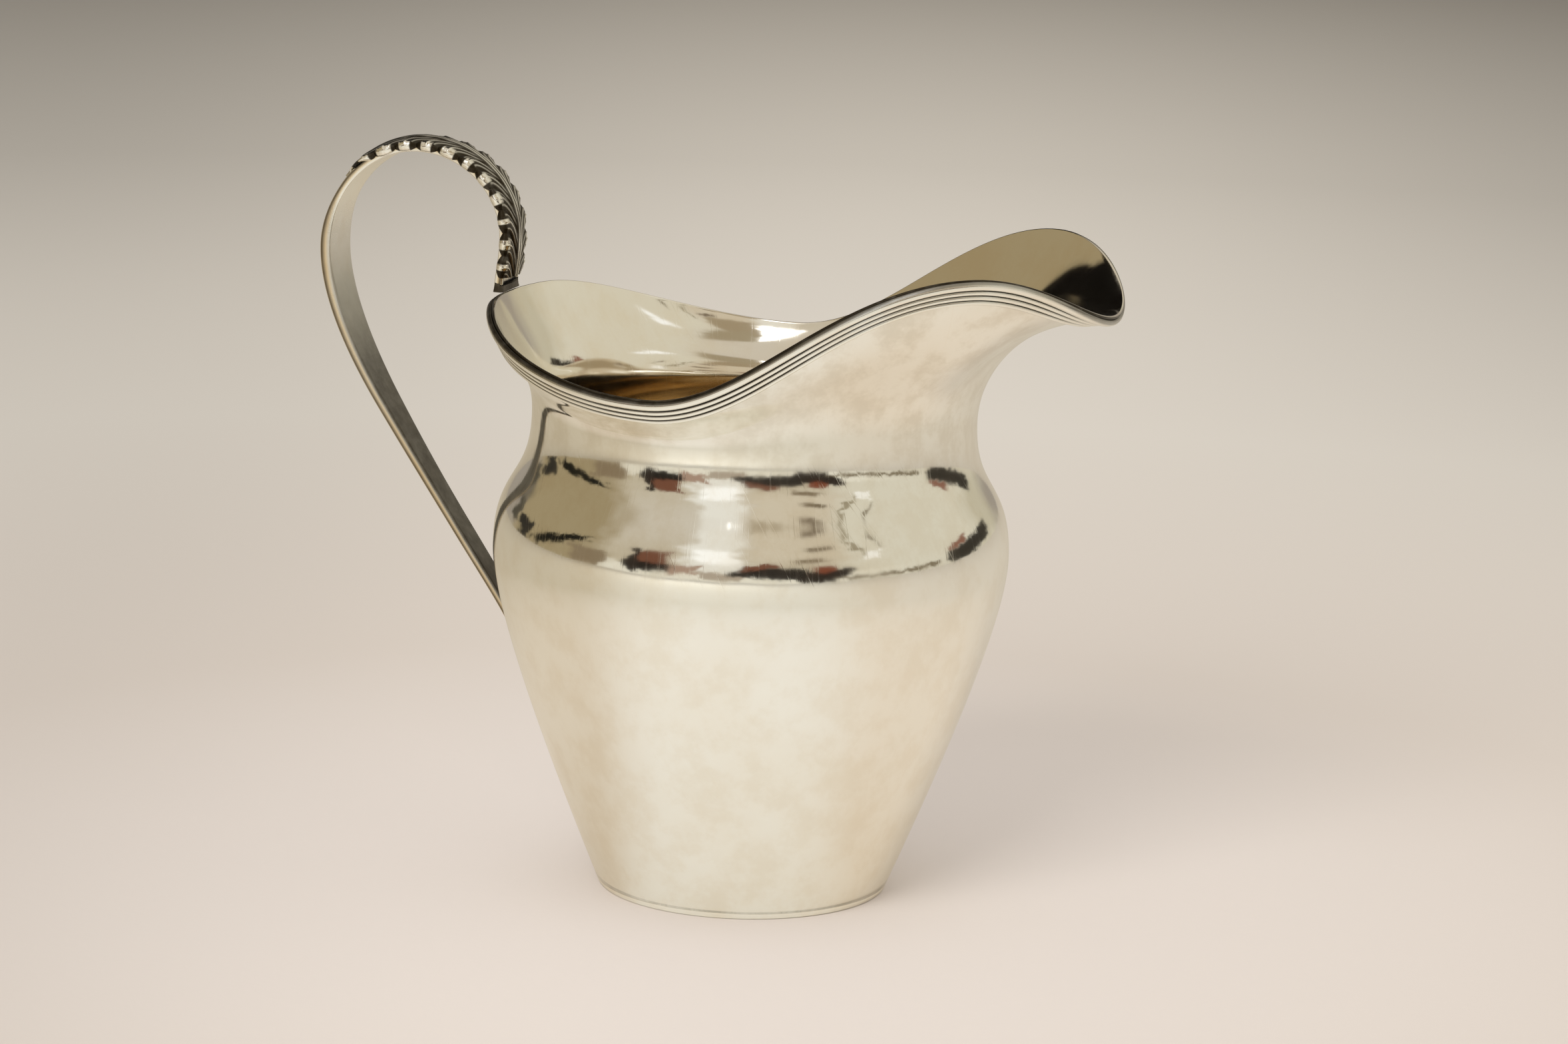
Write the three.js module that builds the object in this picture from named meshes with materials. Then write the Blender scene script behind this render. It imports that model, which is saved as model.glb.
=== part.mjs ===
// A silver milk jug: a raised body with a waved helmet lip, a flat base, a reeded wire round the rim,
// and a strap handle with a cast leaf on its loop, all soldered together.
// Millimetres, +Z up. The origin is the middle of the base's underside, the spout points along +X
// and the handle along -X. Angles round the jug are in degrees and start at the spout.
import * as THREE from "three";

// Wall and base
const WALL = 0.6;
const BASE_RADIUS = 21.5;
const BASE_THICKNESS = 0.9;
const FLANK_ANGLE = 22.5; // lean of the wall where it leaves the base
const BELLY_RADIUS = 38.2;
const BELLY_Z = 50.9;
const SHOULDER_FULLNESS = 11.2; // how far the belly stays upright before it turns in
const NECK_DRAW = 5.4; // how far the neck stands in from the belly
const NECK_RISE = 20.1; // from the belly up to the neck
const NECK_FULLNESS = 10.7; // how far below the neck the shoulder is already upright

// Rim, from the spout's tip over its two horns and the low sides to the handle.
// Each place is given by how far it stands out from the neck and how far it rises above it.
const SPOUT_OUT = 21.1;
const SPOUT_RISE = 18.8;
const HORN_ANGLE = 36;
const HORN_RISE = 26.6;
const SIDE_ANGLE = 88;
const SIDE_OUT = 5.8;
const DIP_ANGLE = 97;
const DIP_RISE = 8;
const QUARTER_ANGLE = 128;
const QUARTER_OUT = 7.4;
const BACK_ANGLE = 165;
const BACK_OUT = 5.6;
const BACK_RISE = 15.9;
const SPOUT_EDGE_SLOPE = 2; // rise of the wall at the spout's tip, against level
const RIM_EDGE_SLOPE = 67; // the same everywhere behind the horns
const FLARE_START = 0.4; // share of the neck's height that stays upright
const FLARE_END = 0.55; // share of the neck's reach that keeps the edge's slope

// Reeded wire: one bead along the edge and narrower reeds below it
const BEAD_WIDTH = 1.2;
const BEAD_HEIGHT = 0.85;
const REED_COUNT = 3;
const REED_WIDTH = 0.8;
const REED_HEIGHT = 0.7;
const REED_VALLEY = 0.4;

// Strap handle: the middle line of its thickness, in the plane of the spout
const STRAP_TOP_THICKNESS = 1.2; // under the leaf
const STRAP_THICKNESS = 1.7; // at the back of the loop
const STRAP_FOOT_THICKNESS = 1.3;
const STRAP_TOP_WIDTH = 7.8;
const STRAP_WIDTH = 8.6;
const STRAP_WAIST_WIDTH = 5;
const STRAP_FOOT_WIDTH = 4.4;
const STRAP_THREAD = 0.3; // depth of the sunk middle between the strap's two edge threads
const STRAP_THREAD_WIDTH = 1.1;

// Turns of that line, by how far each lies behind the rim's back and above or below it
const LOOP_FRONT_RISE = 8.1;
const LOOP_TOP_OUT = 13.6;
const LOOP_TOP_RISE = 20.8;
const LOOP_BACK_OUT = 28;
const LOOP_BACK_RISE = 5.1;
const GRIP_OUT = 19;
const GRIP_DROP = 18.5;
const GRIP_ANGLE = 58; // fall of the straight grip, against level
const FOOT_DROP = 17.9; // from the belly down to the foot

// Cast leaf over the loop's outer face, its lobes wrapped down over the strap's two sides
const LEAF_START = 2.2; // from the rim, along the strap
const LEAF_LENGTH = 40;
const LEAF_LOBES = 12;
const LEAF_EDGE = 0.35; // thickness at the notches between lobes
const LEAF_LOBE = 0.4; // how far each lobe swells past a notch
const LEAF_RISE = 0.85;
const LEAF_TIP_LENGTH = 3.5;
const LEAF_TIP_WIDTH = 2;

// Soldered joints
const SOLDER_FILM = 0.1; // clearance between two soldered pieces
const BASE_FILLET = 1.2;
const HANDLE_FILLET = 0.6;
const HANDLE_FILLET_HEIGHT = 1.5;
const FOOT_FILLET_GAP = 1.6; // the foot's fillet ends where the strap stands this far off the wall

// Facets
const RING_STEPS = 60;
const FLANK_STEPS = 6;
const SHOULDER_STEPS = 5;
const FLARE_STEPS = 7;
const STRAP_STEPS = 60;
const LEAF_STEPS_PER_LOBE = 4;
const FOOT_FILLET_STEPS = 5;

// Places that follow from the sizes above
const NECK_RADIUS = BELLY_RADIUS - NECK_DRAW;
const NECK_Z = BELLY_Z + NECK_RISE;
const BACK_REACH = NECK_RADIUS + BACK_OUT;
const BACK_Z = NECK_Z + BACK_RISE;

const silver = (name, color, roughness) =>
  new THREE.MeshStandardMaterial({ name, color, roughness, metalness: 1 });
const POLISHED = silver("polished_silver", 0xd9d3c6, 0.14);
const WORN = silver("worn_silver", 0xcfc8ba, 0.24);
const OXIDISED = silver("oxidised_silver", 0xa89a80, 0.32);
const SOLDER = silver("silver_solder", 0xc4bcac, 0.3);

// Value at a place between stations [place, value], with a cosine ease from each to the next.
function eased(stations, place) {
  const next = stations.findIndex(([at]) => place <= at);
  if (next <= 0) return stations[next < 0 ? stations.length - 1 : 0][1];
  const [from, start] = stations[next - 1];
  const [to, end] = stations[next];
  const share = (1 - Math.cos((Math.PI * (place - from)) / (to - from))) / 2;
  return start + (end - start) * share;
}

const fromSpout = (angle) => Math.abs(THREE.MathUtils.euclideanModulo(angle + 180, 360) - 180);

const rimReach = (angle) =>
  eased(
    [
      [0, NECK_RADIUS + SPOUT_OUT],
      [SIDE_ANGLE, NECK_RADIUS + SIDE_OUT],
      [QUARTER_ANGLE, NECK_RADIUS + QUARTER_OUT],
      [BACK_ANGLE, BACK_REACH],
    ],
    fromSpout(angle),
  );

const rimZ = (angle) =>
  eased(
    [
      [0, NECK_Z + SPOUT_RISE],
      [HORN_ANGLE, NECK_Z + HORN_RISE],
      [DIP_ANGLE, NECK_Z + DIP_RISE],
      [BACK_ANGLE, BACK_Z],
    ],
    fromSpout(angle),
  );

const edgeSlope = (angle) =>
  THREE.MathUtils.degToRad(
    eased(
      [
        [0, SPOUT_EDGE_SLOPE],
        [HORN_ANGLE, RIM_EDGE_SLOPE],
      ],
      fromSpout(angle),
    ),
  );

// Wall profile: points (reach, height) of the outer face in the plane at an angle round the jug.
const FLANK_LEAN = Math.tan(THREE.MathUtils.degToRad(FLANK_ANGLE));
const WALL_FOOT_Z = BASE_THICKNESS + SOLDER_FILM;
const WALL_FOOT_RADIUS = BASE_RADIUS + WALL_FOOT_Z * FLANK_LEAN;
const flank = new THREE.QuadraticBezierCurve(
  new THREE.Vector2(WALL_FOOT_RADIUS, WALL_FOOT_Z),
  new THREE.Vector2(BELLY_RADIUS, (BELLY_RADIUS - BASE_RADIUS) / FLANK_LEAN),
  new THREE.Vector2(BELLY_RADIUS, BELLY_Z),
);
const shoulder = new THREE.CubicBezierCurve(
  new THREE.Vector2(BELLY_RADIUS, BELLY_Z),
  new THREE.Vector2(BELLY_RADIUS, BELLY_Z + SHOULDER_FULLNESS),
  new THREE.Vector2(NECK_RADIUS, NECK_Z - NECK_FULLNESS),
  new THREE.Vector2(NECK_RADIUS, NECK_Z),
);

// The flare above the neck leaves it upright and ends under the rim's edge at the edge's own slope.
function flare(angle) {
  const slope = edgeSlope(angle);
  const along = new THREE.Vector2(Math.cos(slope), Math.sin(slope));
  const end = new THREE.Vector2(
    rimReach(angle) + WALL * along.y,
    rimZ(angle) - WALL * along.x,
  );
  const neck = new THREE.Vector2(NECK_RADIUS, NECK_Z);
  return new THREE.CubicBezierCurve(
    neck,
    new THREE.Vector2(NECK_RADIUS, NECK_Z + FLARE_START * (end.y - NECK_Z)),
    end.clone().addScaledVector(along, -FLARE_END * end.distanceTo(neck)),
    end,
  );
}

function normalAt(curve, share) {
  const tangent = curve.getTangent(share);
  return new THREE.Vector2(tangent.y, -tangent.x);
}

const faceAt = (curve, share) => ({ point: curve.getPoint(share), normal: normalAt(curve, share) });

// A curve sampled at even shares after its start, as points with outward normals.
const sampled = (curve, steps) =>
  Array.from({ length: steps }, (_, i) => faceAt(curve, (i + 1) / steps));

const inRing = (angle, { x, y }) => {
  const turn = THREE.MathUtils.degToRad(angle);
  return new THREE.Vector3(x * Math.cos(turn), x * Math.sin(turn), y);
};

const WIRE_WIDTH = BEAD_WIDTH + REED_COUNT * REED_WIDTH;
const wireRows = [WIRE_WIDTH, WIRE_WIDTH / 2, 0]; // distances from the edge

const ringAngles = Array.from({ length: RING_STEPS }, (_, i) => (360 * i) / RING_STEPS);

// Closed solid through loops of points. The loops wrap round, or the first and last are capped.
function loft(loops, wraps) {
  const size = loops[0].length;
  const spans = wraps ? loops.length : loops.length - 1;
  const faces = [];
  for (let i = 0; i < spans; i++) {
    for (let j = 0; j < size; j++) {
      const a = i * size + j;
      const b = i * size + ((j + 1) % size);
      const c = ((i + 1) % loops.length) * size + ((j + 1) % size);
      const d = ((i + 1) % loops.length) * size + j;
      faces.push([a, b, c], [a, c, d]);
    }
  }
  if (!wraps) {
    const last = (loops.length - 1) * size;
    faces.push(...capOf(loops[0]).map(([a, b, c]) => [c, b, a]));
    faces.push(...capOf(loops[loops.length - 1]).map((face) => face.map((v) => v + last)));
  }
  const points = loops.flat();
  const volume = faces.reduce(
    (sum, [a, b, c]) => sum + points[a].dot(new THREE.Vector3().crossVectors(points[b], points[c])),
    0,
  );
  const outward = volume > 0 ? faces : faces.map(([a, b, c]) => [c, b, a]);
  const geometry = new THREE.BufferGeometry().setFromPoints(points);
  geometry.setIndex(outward.flat());
  geometry.computeVertexNormals();
  return geometry;
}

// Triangles of a flat loop, seen along its own normal.
function capOf(loop) {
  const centre = loop.reduce((sum, p) => sum.add(p), new THREE.Vector3()).divideScalar(loop.length);
  const normal = new THREE.Vector3();
  loop.forEach((p, i) => {
    const next = loop[(i + 1) % loop.length];
    normal.add(p.clone().sub(centre).cross(next.clone().sub(centre)));
  });
  normal.normalize();
  const across = loop[1].clone().sub(loop[0]).normalize();
  const up = normal.clone().cross(across);
  const flat = loop.map((p) => new THREE.Vector2(p.dot(across), p.dot(up)));
  return THREE.ShapeUtils.triangulateShape(flat, []);
}

const lathe = (profile) =>
  new THREE.LatheGeometry(
    profile.map(([reach, z]) => new THREE.Vector2(reach, z)),
    RING_STEPS,
  ).rotateX(Math.PI / 2);

// Share along the flare of a place measured down from its edge, square to the rim. Where the rim
// climbs, the distance down the wall is longer than the distance square to the rim.
function shareBelowEdge(angle, distance) {
  const wall = flare(angle);
  const half = 180 / RING_STEPS;
  const climb = (rimZ(angle + half) - rimZ(angle - half)) / THREE.MathUtils.degToRad(2 * half);
  const stretch = Math.hypot(1, climb / rimReach(angle));
  return wall.getUtoTmapping(1 - (distance * stretch) / wall.getLength());
}

// The flare's outer face: even rows up to the wire, and then the rows the wire lies on.
function flareFaces(angle) {
  const wall = flare(angle);
  const under = shareBelowEdge(angle, WIRE_WIDTH);
  const open = Array.from({ length: FLARE_STEPS - 1 }, (_, i) => (under * (i + 1)) / FLARE_STEPS);
  const covered = wireRows.map((distance) => shareBelowEdge(angle, distance));
  return [...open, ...covered].map((share) => faceAt(wall, share));
}

// Body shell: the wall's outer face up to the rim's edge, and the same face moved in by the wall.
function bodyShell() {
  const lower = [
    faceAt(flank, 0),
    ...sampled(flank, FLANK_STEPS),
    ...sampled(shoulder, SHOULDER_STEPS),
  ];
  return loft(
    ringAngles.map((angle) => {
      const outer = [...lower, ...flareFaces(angle)];
      const inner = outer.map(({ point, normal }) => point.clone().addScaledVector(normal, -WALL));
      inner[0].set(innerFootRadius, WALL_FOOT_Z);
      const loop = [...outer.map(({ point }) => point), ...inner.reverse()];
      return loop.map((p) => inRing(angle, p));
    }),
    true,
  );
}

// The wall's foot is cut level, so its inner edge stands in by the wall's slanted thickness.
const innerFootRadius = WALL_FOOT_RADIUS - WALL * Math.hypot(1, FLANK_LEAN);

const baseDisc = () =>
  lathe([
    [0, 0],
    [BASE_RADIUS, 0],
    [BASE_RADIUS + BASE_THICKNESS * FLANK_LEAN, BASE_THICKNESS],
    [0, BASE_THICKNESS],
  ]);

// Solder fillet in the corner between the base and the inside of the wall.
function baseSeamSolder() {
  const floor = BASE_THICKNESS + SOLDER_FILM;
  const corner = innerFootRadius - SOLDER_FILM * Math.hypot(1, FLANK_LEAN);
  const loops = ringAngles.map((angle) =>
    [
      new THREE.Vector2(corner, floor),
      new THREE.Vector2(corner + BASE_FILLET * FLANK_LEAN, floor + BASE_FILLET),
      new THREE.Vector2(corner - BASE_FILLET, floor),
    ].map((p) => inRing(angle, p)),
  );
  return loft(loops, true);
}

// Points across the reeded wire, as [distance from the edge, height off the wall].
function wireProfile() {
  const widths = [BEAD_WIDTH, ...Array(REED_COUNT).fill(REED_WIDTH)];
  const profile = [[0, REED_VALLEY]];
  let from = 0;
  widths.forEach((width, i) => {
    const height = i === 0 ? BEAD_HEIGHT : REED_HEIGHT;
    profile.push([from + width * 0.28, height], [from + width * 0.72, height]);
    from += width;
    profile.push([from, REED_VALLEY]);
  });
  return profile;
}

// Reeded wire, lying on the outer face of the wall below its edge.
function rimWire() {
  return loft(
    ringAngles.map((angle) => {
      const wall = flare(angle);
      const place = ([distance, height]) => {
        const { point, normal } = faceAt(wall, shareBelowEdge(angle, distance));
        return point.addScaledVector(normal, SOLDER_FILM + height);
      };
      const back = wireRows.map((distance) => [distance, 0]);
      return [...wireProfile(), ...back].map((p) => inRing(angle, place(p)));
    }),
    true,
  );
}

// Middle line of the strap in its own plane, x along the jug's X and y up, from the rim to the foot.
function strapLine() {
  const at = (reach, z) => new THREE.Vector2(-reach, z);
  const rimDepth = (WALL + SOLDER_FILM + BEAD_HEIGHT) * Math.sin(edgeSlope(180));
  const seat = at(BACK_REACH + rimDepth / 2, BACK_Z + SOLDER_FILM);
  const front = at(BACK_REACH, BACK_Z + LOOP_FRONT_RISE);
  const top = at(BACK_REACH + LOOP_TOP_OUT, BACK_Z + LOOP_TOP_RISE);
  const back = at(BACK_REACH + LOOP_BACK_OUT, BACK_Z + LOOP_BACK_RISE);
  const grip = at(BACK_REACH + GRIP_OUT, BACK_Z - GRIP_DROP);
  const fall = THREE.MathUtils.degToRad(GRIP_ANGLE);
  const gripAlong = new THREE.Vector2(Math.cos(fall), -Math.sin(fall));
  const wall = wallAt(BELLY_Z - FOOT_DROP);
  const foot = at(wall.point.x, wall.point.y).addScaledVector(
    new THREE.Vector2(-wall.normal.x, wall.normal.y),
    SOLDER_FILM + STRAP_FOOT_THICKNESS / 2,
  );
  const footAlong = new THREE.Vector2(-wall.normal.y, -wall.normal.x);
  const rise = front.y - seat.y;
  const fallBack = back.y - grip.y;
  const reachFoot = grip.distanceTo(foot);
  const arc = 0.552; // handle length of a quarter round
  const path = new THREE.CurvePath();
  const add = (...points) => path.add(new THREE.CubicBezierCurve(...points));
  add(seat, at(-seat.x, seat.y + rise * 0.3), at(-front.x, front.y - rise * 0.4), front);
  add(
    front,
    at(-front.x, front.y + (top.y - front.y) * arc),
    at(-top.x - (front.x - top.x) * arc, top.y),
    top,
  );
  add(
    top,
    at(-top.x + (top.x - back.x) * arc, top.y),
    at(-back.x, back.y + (top.y - back.y) * arc),
    back,
  );
  add(
    back,
    at(-back.x, back.y - fallBack * 0.3),
    grip.clone().addScaledVector(gripAlong, -fallBack * 0.4),
    grip,
  );
  add(
    grip,
    grip.clone().addScaledVector(gripAlong, reachFoot * 0.6),
    foot.clone().addScaledVector(footAlong, -reachFoot * 0.15),
    foot,
  );
  return path;
}

// Outer face of the wall at a height between the base and the belly.
function wallAt(z) {
  let low = 0;
  let high = 1;
  for (let i = 0; i < 40; i++) {
    const middle = (low + high) / 2;
    if (flank.getPoint(middle).y < z) low = middle;
    else high = middle;
  }
  return { point: flank.getPoint(low), normal: normalAt(flank, low) };
}

const line = strapLine();
const LINE_LENGTH = line.getLength();
const LOOP_SHARE = line.getCurveLengths()[2] / LINE_LENGTH; // the loop's back
const GRIP_SHARE = line.getCurveLengths()[3] / LINE_LENGTH; // the straight grip

const LEAF_END_SHARE = (LEAF_START + LEAF_LENGTH) / LINE_LENGTH;
const WAIST_SHARE = (GRIP_SHARE + 1) / 2;

const strapWidth = (share) =>
  eased(
    [
      [LEAF_END_SHARE, STRAP_TOP_WIDTH],
      [LOOP_SHARE, STRAP_WIDTH],
      [WAIST_SHARE, STRAP_WAIST_WIDTH],
      [1, STRAP_FOOT_WIDTH],
    ],
    share,
  );
const strapThickness = (share) =>
  eased(
    [
      [LEAF_END_SHARE, STRAP_TOP_THICKNESS],
      [LOOP_SHARE, STRAP_THICKNESS],
      [1, STRAP_FOOT_THICKNESS],
    ],
    share,
  );

// A loop of points across the strap's line: [y, height off the middle line] at a share of its length.
function acrossStrap(share, section) {
  const middle = line.getPoint(share);
  const out = normalAt(line, share);
  return section.map(([y, height]) => {
    const p = middle.clone().addScaledVector(out, height);
    return new THREE.Vector3(p.x, y, p.y);
  });
}

// Mirrors the points of one edge, listed from the outer face's middle, onto the other edge.
const bothEdges = (points) => [
  ...points,
  ...points
    .map(([y, height]) => [-y, height])
    .reverse(),
];

// Strap: flat inside, with a raised thread along each edge of its outer face.
function handleStrap() {
  const loops = Array.from({ length: STRAP_STEPS + 1 }, (_, i) => {
    const share = i / STRAP_STEPS;
    const side = strapWidth(share) / 2;
    const face = strapThickness(share) / 2;
    return acrossStrap(
      share,
      bothEdges([
        [side - STRAP_THREAD_WIDTH, face - STRAP_THREAD],
        [side - STRAP_THREAD_WIDTH * 0.7, face],
        [side - STRAP_THREAD_WIDTH * 0.3, face],
        [side, face - STRAP_THREAD],
        [side, -face],
      ]),
    );
  });
  return loft(loops, false);
}

// Leaf: two raised halves with a rib between them and lobes down both sides of the strap.
// Towards its tip the lobes draw up and the leaf narrows on the strap's outer face.
function handleLeaf() {
  const steps = LEAF_LOBES * LEAF_STEPS_PER_LOBE;
  const tipFrom = LEAF_LENGTH - LEAF_TIP_LENGTH;
  const loops = Array.from({ length: steps + 1 }, (_, i) => {
    const along = (LEAF_LENGTH * i) / steps;
    const share = (LEAF_START + along) / LINE_LENGTH;
    const strapSide = strapWidth(share) / 2 + SOLDER_FILM;
    const face = strapThickness(share) / 2;
    const swell = LEAF_LOBE * Math.abs(Math.sin((Math.PI * i) / LEAF_STEPS_PER_LOBE));
    const full = strapSide + LEAF_EDGE + swell;
    const side = eased(
      [
        [tipFrom, full],
        [LEAF_LENGTH, LEAF_TIP_WIDTH / 2],
      ],
      along,
    );
    const drop = eased(
      [
        [tipFrom - LEAF_TIP_LENGTH, 2 * face],
        [tipFrom, SOLDER_FILM / 2],
      ],
      along,
    );
    const seat = face + SOLDER_FILM;
    const inside = side - LEAF_EDGE - swell;
    return acrossStrap(
      share,
      bothEdges([
        [side * 0.1, seat + LEAF_RISE],
        [side * 0.28, seat + (LEAF_RISE + LEAF_EDGE) / 2],
        [side * 0.62, seat + LEAF_RISE],
        [side, seat + LEAF_EDGE],
        [side, seat - drop],
        [inside, seat - drop],
        [inside, seat],
      ]),
    );
  });
  return loft(loops, false);
}

// Solder collar round the strap where it stands on the rim.
function handleTopSolder() {
  const corner = (share, grow, turnY, turnOut) => {
    const side = strapWidth(share) / 2 + SOLDER_FILM + grow;
    const face = strapThickness(share) / 2 + SOLDER_FILM + grow;
    return acrossStrap(share, [[side * turnY, face * turnOut]])[0];
  };
  const corners = [
    [1, 1],
    [-1, 1],
    [-1, -1],
    [1, -1],
  ];
  const loops = corners.map(([turnY, turnOut]) => [
    corner(0, 0, turnY, turnOut),
    corner(0, HANDLE_FILLET, turnY, turnOut),
    corner(HANDLE_FILLET_HEIGHT / LINE_LENGTH, 0, turnY, turnOut),
  ]);
  return loft(loops, true);
}

// Solder wedge between the strap's inner face and the wall, just above the foot.
function handleFootSolder() {
  const inner = (share) => {
    const [p] = acrossStrap(share, [[0, -strapThickness(share) / 2 - SOLDER_FILM]]);
    return p;
  };
  const gap = (share) => -inner(share).x - wallAt(inner(share).z).point.x - SOLDER_FILM;
  const shareAt = (wanted) => {
    let low = GRIP_SHARE;
    let high = 1;
    for (let i = 0; i < 40; i++) {
      const middle = (low + high) / 2;
      if (gap(middle) > wanted) low = middle;
      else high = middle;
    }
    return low;
  };
  const from = shareAt(FOOT_FILLET_GAP);
  const to = shareAt(2 * SOLDER_FILM);
  const loops = Array.from({ length: FOOT_FILLET_STEPS + 1 }, (_, i) => {
    const share = from + ((to - from) * i) / FOOT_FILLET_STEPS;
    const p = inner(share);
    const side = strapWidth(share) / 2;
    const reach = wallAt(p.z).point.x + SOLDER_FILM;
    return [
      new THREE.Vector3(p.x, side, p.z),
      new THREE.Vector3(-Math.sqrt(reach ** 2 - side ** 2), side, p.z),
      new THREE.Vector3(-reach, 0, p.z),
      new THREE.Vector3(-Math.sqrt(reach ** 2 - side ** 2), -side, p.z),
      new THREE.Vector3(p.x, -side, p.z),
    ];
  });
  return loft(loops, false);
}

function piece(name, geometry, material) {
  const mesh = new THREE.Mesh(geometry, material);
  mesh.name = name;
  return mesh;
}

const body = new THREE.Group();
body.add(
  piece("body_shell", bodyShell(), POLISHED),
  piece("base_disc", baseDisc(), POLISHED),
  piece("base_seam_solder", baseSeamSolder(), SOLDER),
  piece("rim_wire", rimWire(), WORN),
);

const handle = new THREE.Group();
handle.add(
  piece("handle_strap", handleStrap(), WORN),
  piece("handle_leaf", handleLeaf(), OXIDISED),
  piece("handle_top_solder", handleTopSolder(), SOLDER),
  piece("handle_foot_solder", handleFootSolder(), SOLDER),
);

const jug = new THREE.Group();
jug.add(body, handle);

export default jug;
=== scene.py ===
"""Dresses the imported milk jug: fine silver surfaces over its solids, a pale floor, soft light and the camera.

Every surface is worked out on a grid with numpy, from the same sizes as the solids, in metres.
The origin is the middle of the base's underside, the spout points along +X and the handle along -X.
"""

import math

import bpy
import numpy as np
from mathutils import Matrix, Vector


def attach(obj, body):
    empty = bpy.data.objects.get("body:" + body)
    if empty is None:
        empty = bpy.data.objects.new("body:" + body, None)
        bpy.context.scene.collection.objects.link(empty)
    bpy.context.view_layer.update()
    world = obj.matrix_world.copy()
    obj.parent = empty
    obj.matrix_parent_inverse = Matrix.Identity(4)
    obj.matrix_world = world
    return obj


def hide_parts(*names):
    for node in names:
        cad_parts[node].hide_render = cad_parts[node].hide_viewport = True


bl_info = {
    "name": "Milk jug",
    "version": (1, 0, 0),
    "blender": (4, 5, 0),
    "location": "3D View > Sidebar > Milk jug",
    "description": "Builds the silver surfaces of a milk jug over its solids, and its studio",
    "category": "Object",
}

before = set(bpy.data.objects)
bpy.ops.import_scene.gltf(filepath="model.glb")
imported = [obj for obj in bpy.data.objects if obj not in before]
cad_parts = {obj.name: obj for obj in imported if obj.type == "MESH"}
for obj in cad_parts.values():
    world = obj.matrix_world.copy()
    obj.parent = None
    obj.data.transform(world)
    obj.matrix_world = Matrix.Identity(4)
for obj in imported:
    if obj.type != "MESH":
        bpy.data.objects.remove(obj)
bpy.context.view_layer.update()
MM = 0.001
QUARTER_PULL = 0.552  # pull of the control points that bends a cubic Bezier into a quarter circle

# Steps of the grids and of the curves behind them
ROUND = 360  # columns round the rim
BODY_ROUND = 240  # columns round the body, which keeps it under 200,000 triangles
WALL_ROWS = 70  # rows up the flank, and up the shoulder
FINE_ROWS = 400  # the same where the wall is only measured
FLARE_ROWS = 60  # rows up the flared mouth
FLARE_STEPS = 240  # points that measure the flare
CURVE_STEPS = 300  # points on each curve of the strap
LINE_STEPS = 4000  # even places along the strap
STRAP_ROWS = 520
LEAF_ROWS = 560

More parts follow.
